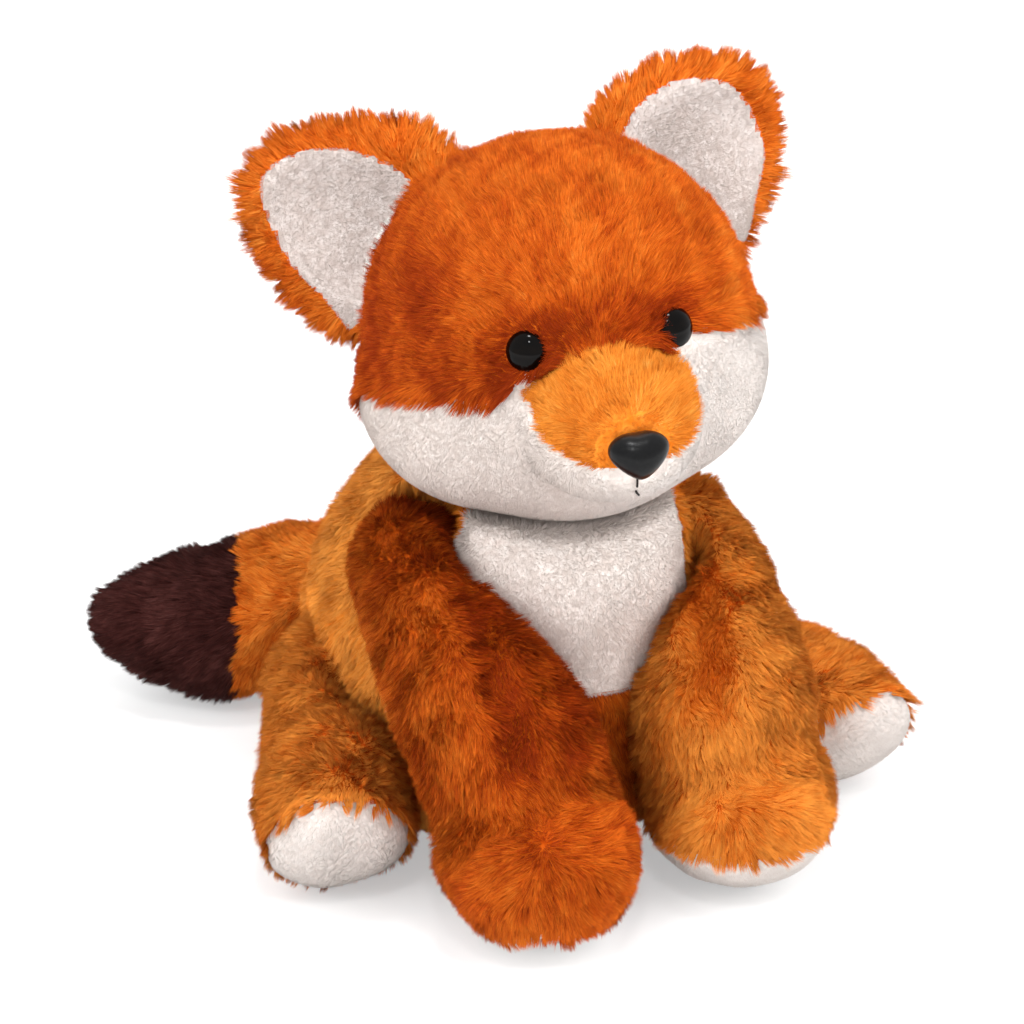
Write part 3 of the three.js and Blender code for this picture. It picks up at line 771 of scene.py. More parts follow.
# How single strands differ in lean, length, gathering, twist and width
LEAN_SPREAD = 0.12
LENGTHS = (0.75, 1.12)
GATHERS = (0.5, 1.3)
MOST_GATHER = 0.95
TWIST_SPREAD = 0.5
WIDTHS = (0.8, 1.25)

# A strand: its thickness, how deep its root lies, its corners, and the tilt of the normals it is shaded by
STRAND_THICKNESS = 0.07 * MM
ROOT_DEPTH = 0.4 * MM
STRAND_CORNERS = 5
STRAND_LOOPS = (0, 1, 4, 3, 2, 4)
SHADING_TILT = 0.55
LEAST_TUFTS = 8


def scatter(form, draw):
    """Root places spread evenly over a skin, each with its normal, room and nearness to each cover"""
    quads = form["quads"]
    triangles = np.concatenate((quads[:, [0, 1, 2]], quads[:, [0, 2, 3]]))
    a, b, c = (form["points"][triangles[:, i]] for i in range(3))
    area = np.linalg.norm(np.cross(b - a, c - a), axis=1) / 2
    most = max(PILES[COVERS[cover][0]]["count"] for cover in form["covers"])
    total = int(area.sum() / MM**2 * most)
    chosen = np.sort(draw.choice(len(triangles), total, p=area / area.sum()))
    u, v = np.sqrt(draw.random(total)), draw.random(total)
    shares = np.stack((1 - u, u * (1 - v), u * v), 1)

    def at(values):
        return np.einsum("ij,ij...->i...", shares, values[triangles[chosen]])

    return {
        "place": at(form["skin"]), "outer": at(form["points"]), "normal": unit(at(form["normals"])),
        "room": at(form["room"]), "near": at(form["near"]), "keep": draw.random(total) * most,
    }


def part_of(roots, mask):
    """The roots that a mask keeps"""
    return {key: values[mask] for key, values in roots.items()}


def tangent(vectors, normals):
    """Directions along a surface"""
    return unit(vectors - (vectors * normals).sum(1, keepdims=True) * normals)


def gathered(roots, tips, size, share, draw):
    """Tips drawn together in tufts, as far as share says, each tuft of about size strands"""
    count = max(LEAST_TUFTS, int(len(roots) / max(1.0, size)))
    picked = np.sort(draw.choice(len(roots), min(count, len(roots)), replace=False))
    tree = KDTree(len(picked))
    for number, root in enumerate(picked):
        tree.insert(roots[root], number)
    tree.balance()
    owner = picked[[tree.find(place)[1] for place in roots.tolist()]]
    return tips + (tips[owner] - tips) * share[:, None], owner


def manner_of(pile):
    """How a pile stands: as long pile where its tips gather, or else as velour"""
    return LONG_PILE if pile["gather"] else VELOUR


def strands(roots, flow, pile, length, lean, draw):
    """A thin wedge from each root, with the normals that it is shaded by"""
    place, normal = roots["place"], roots["normal"]
    count = len(normal)
    manner = manner_of(pile)
    unrest = manner["unrest"]
    wander = ripple(place, WANDER_SIZE, "wander")[:, None] * np.cross(normal, flow) * WANDER
    flow = tangent(flow + wander + draw.normal(0, manner["stray"], (count, 3)), normal)
    lean = lean + draw.normal(0, LEAN_SPREAD, count)
    lean += LEAN_RIPPLE * unrest * ripple(place, LEAN_RIPPLE_SIZE, "lean")
    length = length * draw.uniform(*LENGTHS, count)
    length *= 1 + LENGTH_RIPPLE * unrest * ripple(place, LENGTH_RIPPLE_SIZE, "length")
    along = np.cos(lean)[:, None] * normal + np.sin(lean)[:, None] * flow
    tip = place + along * length[:, None]
    share = np.clip(pile["gather"] * draw.uniform(*GATHERS, count), 0, MOST_GATHER)
    owner = np.arange(count)
    if pile["gather"]:
        tip, owner = gathered(place, tip, pile["count"] * pile["tuft"] ** 2, share, draw)
    tip[:, 2] = np.maximum(tip[:, 2], FLOOR_CLEARANCE)
    heading = unit(tip - place)
    side = unit(np.cross(heading, normal))
    twist = draw.normal(0, TWIST_SPREAD, count)[:, None]
    side = np.cos(twist) * side + np.sin(twist) * np.cross(heading, side)
    half = side * (pile["width"] * MM / 2 * draw.uniform(*WIDTHS, count))[:, None]
    base = place - normal * ROOT_DEPTH
    half *= np.where((np.cross(half, tip - base) * normal).sum(1) < 0, 1, -1)[:, None]
    behind = unit(np.cross(half, heading)) * STRAND_THICKNESS
    corners = np.stack((base + half, base - half, base + half + behind, base - half + behind, tip), 1)
    tilt = tangent(draw.normal(size=(count, 3))[owner], normal)
    return corners, unit(normal + SHADING_TILT * tilt * pile["spread"])


def pile_mesh(name, corners, shaded, shade, materials):
    """Strands as a mesh, each in its own shade: a front and a back from two edges to one tip"""
    count = len(corners)
    slots = np.repeat(np.clip(shade, 0, len(materials) - 1), 2)
    loops = (np.arange(count)[:, None] * STRAND_CORNERS + np.array(STRAND_LOOPS)).ravel()
    mesh = mesh_from_arrays(name, corners.reshape(-1, 3), loops, np.full(count * 2, 3), materials, slots)
    normals = mesh.attributes.new("custom_normal", "FLOAT_VECTOR", "POINT")
    shaded = np.repeat(shaded, STRAND_CORNERS, 0).astype(np.float32)
    normals.data.foreach_set("vector", shaded.ravel())
    return mesh


def in_head(points):
    """Places in the head's own frame, in millimetres, facing -Y"""
    return (points - head_centre) @ head_matrix / MM


def from_head(vectors):
    """Directions or offsets of the head's own frame, in the frame of all"""
    return vectors @ head_matrix.T


# Places on the head, in its own frame in millimetres
EYE_PLACES = np.array([[22.5, -50.0, 14.5], [-22.5, -50.0, 14.5]])
NOSE_PLACE = np.array([0.0, -82.0, -6.5])
BRIDGE = np.array([0.0, -58.0, 2.0])
MUZZLE_WHORL = NOSE_PLACE + np.array([0.0, 0.0, 1.0])

# The crown's pile hangs over the cheeks: between which heights above the seam, and above the lower end
OVERHANG_HEIGHTS = (7, 1.5)
OVERHANG_LOW = (-50, -30)
OVERHANG_DROOP = 1.6
SIDE_DROOP = (0.55, 10, -25)


def overhang(roots):
    """1 along the crown's lower edge, where its pile hangs over the cheeks, and 0 further up"""
    q = in_head(roots["outer"])
    return smoothstep(*OVERHANG_HEIGHTS, above_cheek_line(q)) * smoothstep(*OVERHANG_LOW, q[:, 2])


def head_flow(roots):
    """On the crown the pile runs away from the bridge of the nose, and down on the sides"""
    q = in_head(roots["outer"])
    away = unit(q - BRIDGE)
    away[:, 2] -= fade(*SIDE_DROOP, q[:, 2])
    away[:, 2] -= OVERHANG_DROOP * overhang(roots)
    return from_head(away)


def centre_of(node):
    """The middle of a node's box"""
    low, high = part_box(node)
    return np.array((low + high) / 2)


# Front paws: their middle's height over the pad's, the whorl in the pile from there in millimetres, and how
# far around and along the leg the pile runs from it
PAW_RISE = 22 * MM
PAW_WHORLS = {"left": (-20, -20, 12), "right": (-9, -18, 21)}
WHORL_REACH = (52 * MM, 30 * MM)
WHORL_ALONG = (-13 * MM, 3 * MM)

# How far the pile of a hind leg runs outward and down from the line along the leg
HIND_OUTWARD = 0.9
HIND_DOWNWARD = 1.1

# Where an ear's root lies, as a share of the way from its lining's middle to the head's
EAR_ROOT = 0.45


def side_of(cover):
    """The side in a cover's name"""
    return cover.rsplit("_", 1)[-1]


def paw_of(side):
    """The middle of a front paw"""
    return centre_of(f"front_paw_pad_{side}") + np.array([0, 0, PAW_RISE])


def whorl_of(cover):
    """Where the pile of a front leg's paw parts"""
    side = side_of(cover)
    return paw_of(side) + np.array(PAW_WHORLS[side]) * MM


def front_leg_flow(side):
    """Down the leg, and outward from a whorl on the paw"""
    shoulder = joints[f"front_leg_{side}"]
    paw, whorl = paw_of(side), whorl_of(f"front_leg_cover_{side}")

    def flow(roots):
        offset = roots["outer"] - whorl
        along = unit(paw - shoulder)[None, :]
        near = smoothstep(*WHORL_REACH, np.linalg.norm(offset, axis=1))
        near *= smoothstep(*WHORL_ALONG, offset @ along[0])
        return unit(offset) * near[:, None] + along * (1 - near[:, None])

    return flow


def straight_flow(way):
    """The same way everywhere"""
    return lambda roots: np.tile(way, (len(roots["outer"]), 1))


def flow_from(place):
    """Away from a place"""
    return lambda roots: unit(roots["outer"] - place)


def flow_of(cover):
    """The way that a cover's pile runs, as a function of its roots"""
    side = side_of(cover)
    if cover == "head_crown_cover":
        return head_flow
    if cover == "muzzle_cover":
        return flow_from(head_centre + from_head(MUZZLE_WHORL) * MM)
    if cover.startswith("ear_"):
        lining = centre_of(f"ear_lining_{side}")
        return flow_from(lining + (head_centre - lining) * EAR_ROOT)
    if cover.startswith("front_leg"):
        return front_leg_flow(side)
    if cover.startswith("hind_"):
        aside = HIND_OUTWARD if side == "left" else -HIND_OUTWARD
        along = unit(centre_of(f"hind_sole_pad_{side}") - joints[f"hind_leg_{side}"])
        return straight_flow(along + [aside, 0, -HIND_DOWNWARD])
    if cover.startswith("tail"):
        return straight_flow(unit(centre_of("tail_tip_cover") - joints["tail"]))
    return straight_flow([0.0, 0.0, -1.0])


# Around an eye: how far aside of its axis and along it no pile grows, and how short the pile is between two
# distances. The same for the nose, with stretched distances.
EYE_CLEARING = 4.8
EYE_CLEARING_DEPTH = 10
EYE_TRIM = 0.8
EYE_TRIM_REACH = (6, 13)
NOSE_TRIM = 0.25
NOSE_TRIM_REACH = (8, 15)
NOSE_STRETCH = (1, 0.6, 1.1)

# Zones of painted shade: the cover, how many shades darker (negative for painted light), and between which
# places, in millimetres, in the head's own frame on the head: the shaded cheek and temple on the right, shade
# below the bib between the legs, the torso's lit right side, shade on its shoulder under the chin, and the
# shaded inside of a leg
PAINTED_SHADE_ZONES = (
    ("cheek_cover", 2.2, {"x": (16, -26)}),
    ("head_crown_cover", 1.5, {"x": (-20, -46), "z": (46, 26)}),
    ("torso_cover", 2.5, {"z": (66, 56), "y": (-10, -25), "aside": (30, 22)}),
    ("torso_cover", -0.9, {"x": (-14, -34), "y": (50, 10)}),
    ("torso_cover", 1.9, {"z": (84, 98), "y": (12, -8), "x": (-14, -28)}),
    ("front_leg_cover_right", 1.1, {"x": (-58, -38), "z": (46, 66)}),
)

# Darker spots of painted shade, round the eyes, above the muzzle and round a paw's whorl: how many shades
# darker, and the distances between which the spot comes in
EYE_SHADE = (1.4, 16, 7)
BROW_SHADE = (1.4, 38, 29)
BROW_PLACE = (0, -50, -2)
BROW_STRETCH = (1, 1, 1.15)
WHORL_SHADE = (0.8, 16 * MM, 4 * MM)
# Painted shade along the legs' creases, in shades at a crease's middle
CREASE_SHADE = 2.1
# How much lighter the pile is along the crown's lower edge, over the cheeks
OVERHANG_LIGHT = 0.8
# Painted shade in small partings of the pile: their size, how many shades darker between which ripple values,
# and the heights between which it fades out upward
PARTING_SIZE = 5.0
PARTING_SHADE = (0.9, 1.3, 2.2)
PARTING_HEIGHTS = (50, 20)


def under_eyes(roots):
    """The places that the eyes cover"""
    q = in_head(roots["outer"])
    covered = np.zeros(len(q), bool)
    for eye in EYE_PLACES:
        axis = unit(eye)
        reach = (q - eye) @ axis
        aside = np.linalg.norm(q - eye - reach[:, None] * axis, axis=1)
        covered |= (aside < EYE_CLEARING) & (np.abs(reach) < EYE_CLEARING_DEPTH)
    return covered


def head_trim(roots):
    """Shorter pile around the eyes, the nose and the mouth"""
    q = in_head(roots["outer"])
    trim = np.ones(len(q))
    for eye in EYE_PLACES:
        away = np.linalg.norm(q - eye, axis=1)
        trim *= at_least(EYE_TRIM, smoothstep(*EYE_TRIM_REACH, away))
    away = np.linalg.norm((q - NOSE_PLACE) * NOSE_STRETCH, axis=1)
    return trim * at_least(NOSE_TRIM, smoothstep(*NOSE_TRIM_REACH, away))


def zone_painted_shade(cover, places):
    """How much darker the pile is for the zones of its cover, as painted shade, or lighter as painted light
    """
    x, y, z = places.T
    along = {"x": x, "y": y, "z": z, "aside": np.abs(x)}
    dark = np.zeros(len(places))
    for owner, amount, ends in PAINTED_SHADE_ZONES:
        if owner == cover:
            dark += amount * np.prod([smoothstep(*ends[axis], along[axis]) for axis in ends], 0)
    return dark


def head_painted_shade(cover, roots):
    """Darker pile as painted shade: in the head's zones, around the eyes, above the muzzle and in small
    partings
    """
    q = in_head(roots["outer"])
    dark = zone_painted_shade(cover, q)
    if cover != "head_crown_cover":
        return dark
    for eye in EYE_PLACES:
        dark += fade(*EYE_SHADE, np.linalg.norm(q - eye, axis=1))
    dark += fade(*BROW_SHADE, np.linalg.norm((q - BROW_PLACE) * BROW_STRETCH, axis=1))
    dark -= OVERHANG_LIGHT * overhang(roots)
    parting_shades = fade(*PARTING_SHADE, ripple(q, PARTING_SIZE, "parting_shade"))
    return dark + parting_shades * smoothstep(*PARTING_HEIGHTS, q[:, 2])


def body_painted_shade(cover, roots):
    """Painted shade and light on the pile in the other zones, in the creases of the legs and on their paws"""
    outer = roots["outer"]
    dark = zone_painted_shade(cover, outer / MM) + CREASE_SHADE * creased(cover.replace("_cover", ""), outer)
    if cover.startswith("front_leg"):
        dark += fade(*WHORL_SHADE, np.linalg.norm(outer - whorl_of(cover), axis=1))
    return dark


def fold_painted_shade(cover, roots):
    """Darker velour in the fold of an ear's lining, as painted shade"""
    away = line_distances(in_head(roots["outer"])[:, [0, 2]], FOLDS[side_of(cover)])
    return FOLD_SHADE * np.exp(-((away / FOLD_WIDTH) ** 2))


# Long pile that hangs over velour: how far from the edge, where the surface faces up, and how much longer,
# further over and higher it stands
HANG_REACH = (4.5 * MM, MM)
HANG_FACING = (-0.1, 0.4)
HANG_LENGTH = 0.3
HANG_LEAN = math.radians(5)
HANG_RISE = 1.3 * MM

# The fringe at an ear's rim: where the surface faces outward, how much it stands up, and its lengths
RIM_FACING = (0.45, 0.9)
RIM_RISE = math.radians(30)
FLAT_LENGTH = 0.65
RIM_LENGTH = 0.4
RIM_RIPPLE_SIZE = 9 * MM
RIM_RIPPLE = 0.16

# Where bodies meet: how deep inside another no pile grows, how short it is, and how the torso's stands up
MOST_BURIED = -6 * MM
BURIED_LENGTH = 0.5
BURIED_REACH = (-5 * MM, 0)
NECK_ROOM = (7 * MM, 2 * MM)
NECK_HEIGHTS = (96 * MM, 106 * MM)
NECK_VELOUR = 2.4 * MM
NECK_UPRIGHT = 0.7

# Shading of a pile: its middle shade, and the sizes of its patches and speckles
MIDDLE_SHADE = 2.9
PATCH_SIZE = 24 * MM
SPECKLE_SIZE = 6 * MM

# The ragged edge between two covers
RAGGED_WIDTH = 0.5 * MM
RAGGED_SIZE = 5 * MM


def hanging_share(form, cover, roots):
    """1 where long pile hangs over the velour next to it, and 0 further away"""
    if cover == "head_crown_cover":
        return overhang(roots)
    pads = [i for i, other in enumerate(form["covers"]) if other.endswith(("pad_left", "pad_right"))]
    if not pads or cover in [form["covers"][i] for i in pads]:
        return np.zeros(len(roots["normal"]))
    level = smoothstep(*HANG_FACING, roots["normal"][:, 2])
    return smoothstep(*HANG_REACH, roots["near"][:, pads[0]]) * level


def rim_share(cover, roots):
    """1 at an ear's rim, where the surface faces away from the ear's middle, and 0 on its flats"""
    outward = unit(roots["outer"] - centre_of(f"ear_lining_{side_of(cover)}"))
    return smoothstep(*RIM_FACING, np.abs((outward * roots["normal"]).sum(1)))


def pile_stand(form, cover, roots):
    """The length and lean of each strand, before strands differ from each other"""
    kind = COVERS[cover][0]
    count = len(roots["normal"])
    length = np.full(count, PILES[kind]["length"] * MM)
    lean = np.full(count, math.radians(PILES[kind]["lean"]))
    length *= at_least(BURIED_LENGTH, smoothstep(*BURIED_REACH, roots["room"]))
    if form["name"] == "head":
        length *= head_trim(roots)
    if form["name"] == "torso":
        high = smoothstep(*NECK_ROOM, roots["room"]) * smoothstep(*NECK_HEIGHTS, roots["outer"][:, 2])
        length += high * (NECK_VELOUR if kind == "velour" else 0)
        lean *= 1 - NECK_UPRIGHT * high
    hanging = hanging_share(form, cover, roots)
    length *= 1 + HANG_LENGTH * hanging
    lean += HANG_LEAN * hanging
    roots["place"] = roots["place"] + roots["normal"] * (HANG_RISE * hanging)[:, None]
    if kind == "fringe":
        rim = rim_share(cover, roots)
        lean -= RIM_RISE * rim
        length *= FLAT_LENGTH + RIM_LENGTH * rim
        length *= 1 + RIM_RIPPLE * ripple(roots["outer"], RIM_RIPPLE_SIZE, "rim")
    return length, lean


def pile_shade(form, cover, roots, unrest):
    """The shade of the pile at each root, as a number in its palette, with painted light and shade"""
    shade = MIDDLE_SHADE + TONE_AND_PAINTED_LIGHT_LIFTS.get(cover, 0) + unrest * ripple(roots["outer"], PATCH_SIZE, "patch")
    shade += unrest * ripple(roots["outer"], SPECKLE_SIZE, "speckle")
    shade -= head_painted_shade(cover, roots) if form["name"] == "head" else body_painted_shade(cover, roots)
    if cover.startswith("ear_lining"):
        shade -= fold_painted_shade(cover, roots)
    return shade


def make_pile(form, index, roots, draw):
    """The strands of one cover"""
    cover = form["covers"][index]
    kind, shades, slot = COVERS[cover]
    pile = PILES[kind]
    manner = manner_of(pile)
    mine = cover_owner(roots) == index
    mine &= roots["keep"] < pile["count"]
    mine &= roots["room"] > MOST_BURIED
    mine &= ~under_eyes(roots)
    roots = part_of(roots, mine)
    count = len(roots["normal"])
    flow = flow_of(cover)(roots)
    shade = pile_shade(form, cover, roots, manner["shade_unrest"])
    length, lean = pile_stand(form, cover, roots)
    corners, shaded = strands(roots, flow, pile, length, lean, draw)
    shade = np.rint(shade + draw.normal(0, manner["shade_spread"], count)).astype(int)
    parts = math.ceil(count / MOST_STRANDS)
    for part in range(parts):
        some = slice(part, None, parts)
        mesh = pile_mesh(cover, corners[some], shaded[some], shade[some], PILE_MATERIALS[shades])
        pile_object = new_object(f"{cover}_pile_{part + 1}", mesh)
        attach(pile_object, form["body"])
        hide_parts(cover)


def cover_owner(roots):
    """The cover that each root grows on, with a ragged edge between covers"""
    near = roots["near"].copy()
    near[:, 0] += RAGGED_WIDTH * ripple(roots["outer"], RAGGED_SIZE, "ragged")
    return near.argmin(1)


# Eyes, nose and mouth

# How many sides a turned piece has
TURN_SEGMENTS = 48

# An eye: how deep it sits, its rim's share of the radius, and its back edge, as shares and heights
EYE_SINK = 2.3 * MM
EYE_RIM = 0.99
EYE_DOME_STEPS = 14
EYE_BACK = ((0.86, -0.6 * MM), (0.97, -0.35 * MM), (1, 0.1 * MM))

# The nose, in millimetres: its cap, how much wider above and narrower below, its pinched top, and its post
NOSE_CAP_DEPTH = 9
NOSE_HALF_DEPTH = 6.4
NOSE_SPREAD = 0.16
NOSE_TAPER = 0.1
NOSE_PINCH = 0.1
NOSE_PINCH_WIDTH = 0.3
NOSE_SEGMENTS = (48, 32)
POST_RADIUS = 1.8 * MM
POST_SEGMENTS = 24

# The mouth's stitches on the face, as places aside and up in the head's frame, in millimetres
STITCHES = (
    ((0.0, -14.6), (0.15, -16.2), (0.1, -17.9)),
    ((0.0, -19.6), (0.3, -20.6), (1.3, -21.9)),
)
STITCH_RADIUS = 0.3 * MM
STITCH_RISE = 0.2 * MM
IN_FRONT = -130.0


def lathe(name, profile, centre, axis, material):
    """A turned piece from points of radius and height along an axis, in metres"""
    turn = Vector((0, 0, 1)).rotation_difference(Vector(axis)).to_matrix()
    made = bmesh.new()
    rings = []
    for radius, height in profile:
        if radius == 0:
            rings.append([made.verts.new((0, 0, height))])
            continue
        angles = [2 * math.pi * i / TURN_SEGMENTS for i in range(TURN_SEGMENTS)]
        rings.append([made.verts.new((radius * math.cos(t), radius * math.sin(t), height)) for t in angles])
    for lower, upper in zip(rings, rings[1:]):
        for i in range(TURN_SEGMENTS):
            j = i + 1
            corners = [ring[k % len(ring)] for ring, k in ((lower, i), (lower, j), (upper, j), (upper, i))]
            made.faces.new(list(dict.fromkeys(corners)))
    bmesh.ops.recalc_face_normals(made, faces=made.faces)
    bmesh.ops.transform(made, matrix=Matrix.Translation(Vector(centre)) @ turn.to_4x4(), verts=made.verts)
    return smooth_object(name, name, made, material)


def smooth_object(name, mesh_name, made, material):
    """An object with one material and smooth shading, from a form in the making"""
    mesh = bpy.data.meshes.new(mesh_name)
    made.to_mesh(mesh)
    made.free()
    mesh.materials.append(material)
    mesh.polygons.foreach_set("use_smooth", [True] * len(mesh.polygons))
    return new_object(name, mesh)


def node_points(node):
    """The corners of a node's mesh"""
    mesh = frame["nodes"][node].data
    points = np.empty(len(mesh.vertices) * 3, np.float32)
    mesh.vertices.foreach_get("co", points)
    return points.reshape(-1, 3).astype(float)


def make_eye(side, material):
    """A glossy dome on its shank, where the frame has it"""
    points = node_points(f"eye_{side}")
    axis = unit(points.mean(0) - head_centre)
    height = (points - head_centre) @ axis
    spread = np.linalg.norm(points - head_centre - height[:, None] * axis, axis=1)
    radius = spread.max()
    rim = height[spread > radius * EYE_RIM].mean()
    bulge = height.max() - rim
    shank = spread[height < rim - MM].max()
    back, edge = height.min() - rim, EYE_BACK[-1][1]
    profile = [(0, back), (shank, back), (shank, EYE_BACK[0][1])]
    profile += [(radius * share, level) for share, level in EYE_BACK]
    for i in range(1, EYE_DOME_STEPS):
        angle = math.pi / 2 * i / EYE_DOME_STEPS
        profile.append((radius * math.cos(angle), edge + (bulge - edge) * math.sin(angle)))
    profile.append((0, bulge))
    eye = lathe(f"eye_{side}_dome", profile, head_centre + axis * (rim - EYE_SINK), axis, material)
    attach(eye, "head")
    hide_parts(f"eye_{side}")


def make_nose(material):
    """A moulded nose: a rounded triangle, wide above, with a smooth domed front"""
    points = in_head(node_points("nose"))
    cap = points[points[:, 1] < points[:, 1].min() + NOSE_CAP_DEPTH]
    low, high = cap.min(0), cap.max(0)
    middle = (low + high) / 2
    half_width, _, half_height = (high - low) / 2
    deep = low[1] + NOSE_HALF_DEPTH
    made = bmesh.new()
    bmesh.ops.create_uvsphere(made, u_segments=NOSE_SEGMENTS[0], v_segments=NOSE_SEGMENTS[1], radius=1)
    for corner in made.verts:
        x, y, z = corner.co
        wide = half_width * (1 + NOSE_SPREAD * z - NOSE_TAPER * (1 - z) ** 2)
        pinch = 1 - NOSE_PINCH * math.exp(-((x / NOSE_PINCH_WIDTH) ** 2)) * max(0, z) ** 2
        local = (middle[0] + x * wide, deep + y * NOSE_HALF_DEPTH, middle[2] + z * half_height * pinch)
        corner.co = Vector(head_centre + from_head(np.array(local)) * MM)
    post_end = points[:, 1].max()
    post = bmesh.ops.create_cone(
        made, cap_ends=True, segments=POST_SEGMENTS, radius1=POST_RADIUS, radius2=POST_RADIUS,
        depth=abs(post_end - deep) * MM,
    )
    turn = Matrix(head_matrix.tolist()).to_4x4() @ Matrix.Rotation(math.pi / 2, 4, "X")
    post_middle = np.array([middle[0], (post_end + deep) / 2, middle[2]])
    place = Matrix.Translation(Vector(head_centre + from_head(post_middle) * MM))
    bmesh.ops.transform(made, matrix=place @ turn, verts=post["verts"])
    nose = smooth_object("nose_cap", "nose", made, material)
    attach(nose, "head")
    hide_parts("nose")


def make_mouth(head, material):
    """A broken line of stitches under the nose"""
    forward = Vector(from_head(np.array([0.0, -1.0, 0.0])))
    for number, stitch in enumerate(STITCHES):
        curve = bpy.data.curves.new(f"stitch_{number + 1}", "CURVE")
        curve.dimensions = "3D"
        curve.bevel_depth = STITCH_RADIUS
        curve.bevel_resolution = 3
        curve.use_fill_caps = True
        line = curve.splines.new("NURBS")
        line.points.add(len(stitch) - 1)
        line.use_endpoint_u = True
        line.order_u = 3
        for point, (aside, up) in zip(line.points, stitch):
            start = Vector(head_centre + from_head(np.array([aside, IN_FRONT, up])) * MM)
            place = head["tree"].ray_cast(start, -forward)[0] + forward * STITCH_RISE
            point.co = (*place, 1.0)
        curve.materials.append(material)
        stitches = new_object(f"stitch_{number + 1}", curve)
        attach(stitches, "head")
        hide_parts("mouth_thread")


# Stage


def make_camera():
    """The camera, which looks at its target from a direction"""
    camera = bpy.data.cameras.new("camera")
    camera.lens = CAMERA_LENS
    camera.sensor_width = SENSOR_WIDTH
    view = new_object("camera", camera)
    aim(view, CAMERA_AZIMUTH, CAMERA_ELEVATION, CAMERA_DISTANCE)
    bpy.context.scene.camera = view


def aim(made, azimuth, elevation, distance):
    """Puts a camera or lamp at a distance from the camera's target, and points it there"""
    back = direction(azimuth, elevation)
    made.location = CAMERA_TARGET + back * distance
    made.rotation_euler = back.to_track_quat("Z", "Y").to_euler()


def direction(azimuth, elevation):
    """Towards a place seen at an azimuth from the front and an elevation, as a unit vector"""
    flat = math.cos(elevation)
    return Vector((math.sin(azimuth) * flat, -math.cos(azimuth) * flat, math.sin(elevation)))


def make_lights():
    """The lamps. Only the small ones show in the eyes."""
    for name, azimuth, elevation, distance, size, power in LIGHTS:
        light = bpy.data.lights.new(name, "AREA")
        light.energy = power
        light.size = size
        lamp = new_object(name, light)
        aim(lamp, math.radians(azimuth), math.radians(elevation), distance)
        lamp.visible_glossy = size < LARGE_LAMP


def rays_that_see(tree):
    """1 for the rays that show the background: the camera's own, and those in gloss and glass"""
    path = add_node(tree, "ShaderNodeLightPath", {})
    found = path.outputs["Is Camera Ray"]
    for ray in ("Is Glossy Ray", "Is Transmission Ray"):
        either = add_node(tree, "ShaderNodeMath", {0: found, 1: path.outputs[ray]})
        either.operation = "MAXIMUM"
        found = either.outputs[0]
    return found


def make_world():
    """Even light, with white behind the object"""
    world = bpy.data.worlds.new("world")
    bpy.context.scene.world = world
    world.use_nodes = True
    tree = world.node_tree
    background = tree.nodes["Background"]
    background.inputs["Color"].default_value = (1, 1, 1, 1)
    levels = {"To Min": WORLD_LEVEL, "To Max": 1.0, "Value": rays_that_see(tree)}
    level = add_node(tree, "ShaderNodeMapRange", levels)
    tree.links.new(level.outputs["Result"], background.inputs["Strength"])


def make_floor():
    """A pale floor that shows white to the camera where nothing shades it"""
    material = bpy.data.materials.new("floor")
    material.use_nodes = True
    tree = material.node_tree
    tree.nodes.remove(tree.nodes["Principled BSDF"])
    output = tree.nodes["Material Output"]
    pale, seen = (add_node(tree, "ShaderNodeBsdfDiffuse", {"Color": grey}) for grey in FLOOR_GREYS)
    place = add_node(tree, "ShaderNodeNewGeometry", {}).outputs["Position"]
    away = add_node(tree, "ShaderNodeVectorMath", {0: place})
    away.operation = "LENGTH"
    levels = {"From Min": GLOW_RISE[0], "From Max": GLOW_RISE[1], "To Min": FLOOR_GLOW, "To Max": 1.0}
    level = add_node(tree, "ShaderNodeMapRange", {**levels, "Value": away.outputs["Value"]})
    level.interpolation_type = "SMOOTHSTEP"
    glow = add_node(tree, "ShaderNodeEmission", {"Strength": level.outputs["Result"]})
    both = add_node(tree, "ShaderNodeAddShader", {0: seen.outputs[0], 1: glow.outputs[0]})
    shaders = {0: rays_that_see(tree), 1: pale.outputs[0], 2: both.outputs[0]}
    mix = add_node(tree, "ShaderNodeMixShader", shaders)
    tree.links.new(mix.outputs[0], output.inputs["Surface"])
    made = bmesh.new()
    bmesh.ops.create_grid(made, x_segments=1, y_segments=1, size=FLOOR_SIZE / 2)
    mesh = bpy.data.meshes.new("floor")
    made.to_mesh(mesh)
    made.free()
    mesh.materials.append(material)
    new_object("floor", mesh)


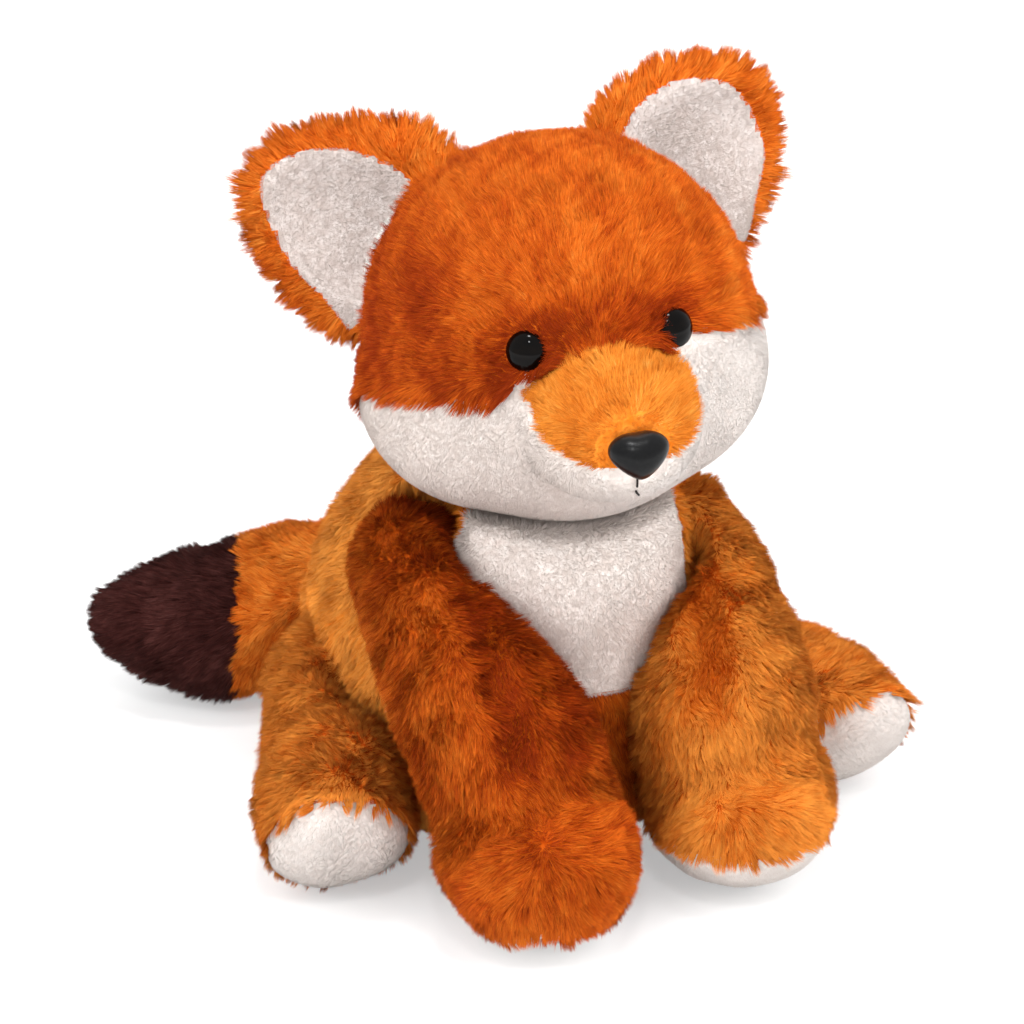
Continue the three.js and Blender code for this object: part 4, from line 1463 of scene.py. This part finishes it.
def hidden_materials():
    """Finishes of the pieces that stay as the frame has them"""
    pouch = patterned_material(
        "pouch", (200, 190, 170), (226, 218, 202), size=0.9 * MM, roughness=0.9, bump=0.5
    )
    washer = patterned_material(
        "washer", (222, 222, 218), (238, 238, 234), size=3 * MM, roughness=0.45, bump=0.1
    )
    finishes = {"seat_bean_pouch": pouch, "nose_washer": washer}
    finishes.update({f"eye_washer_{side}": washer for side in SIDES})
    for node, material in finishes.items():
        mesh = frame["nodes"][node].data
        mesh.materials.clear()
        mesh.materials.append(material)


def make_face(head):
    """The mouth, the eyes and the nose"""
    make_mouth(head, plain_material("thread", (30, 25, 23), roughness=0.8))
    eye = patterned_material(
        "eye", (3, 2, 2), (9, 5, 3), size=4 * MM, roughness=0.03, bump=0.0, specular=0.11
    )
    for side in SIDES:
        make_eye(side, eye)
    nose = patterned_material(
        "nose", (5, 5, 6), (11, 11, 12), size=1.2 * MM, roughness=0.3, bump=0.08, specular=0.2
    )
    make_nose(nose)


def make_forms():
    """The stuffed form of each body"""
    head = ["head_crown_cover", "cheek_cover", "muzzle_cover"]
    head += [f"ear_{part}_{side}" for side in SIDES for part in ("back", "lining")]
    forms = [
        make_form("torso", "torso", ["torso_cover", "chest_bib"], ["torso_stuffing", "seat_bean_pouch"]),
        make_form("head", "head", head, ["head_stuffing"]),
        make_form("tail", "tail", ["tail_cover", "tail_tip_cover"], ["tail_stuffing"]),
    ]
    for side in SIDES:
        for leg, pad in (("front_leg", "front_paw_pad"), ("hind_leg", "hind_sole_pad")):
            covers = [f"{leg}_cover_{side}", f"{pad}_{side}"]
            forms.append(make_form(f"{leg}_{side}", f"{leg}_{side}", covers, [f"{leg}_stuffing_{side}"]))
    return forms


bpy.context.scene.view_settings.view_transform = "Standard"
make_camera()
make_lights()
make_world()
make_floor()
forms = make_forms()
torso_form, head_form = forms[:2]
close_neck(torso_form, head_form)
draw_face_lines(head_form)
draw_linings(head_form)
end_bib(torso_form)
show_paw_pad(next(form for form in forms if form["name"] == "front_leg_left"))
add_room(forms)
for number, form in enumerate(forms):
    make_skin(form)
    make_filling(form)
    draw = np.random.default_rng(FIRST_PILE_SEED + number)
    roots = scatter(form, draw)
    for index in range(len(form["covers"])):
        make_pile(form, index, roots, draw)
make_face(head_form)
hidden_materials()
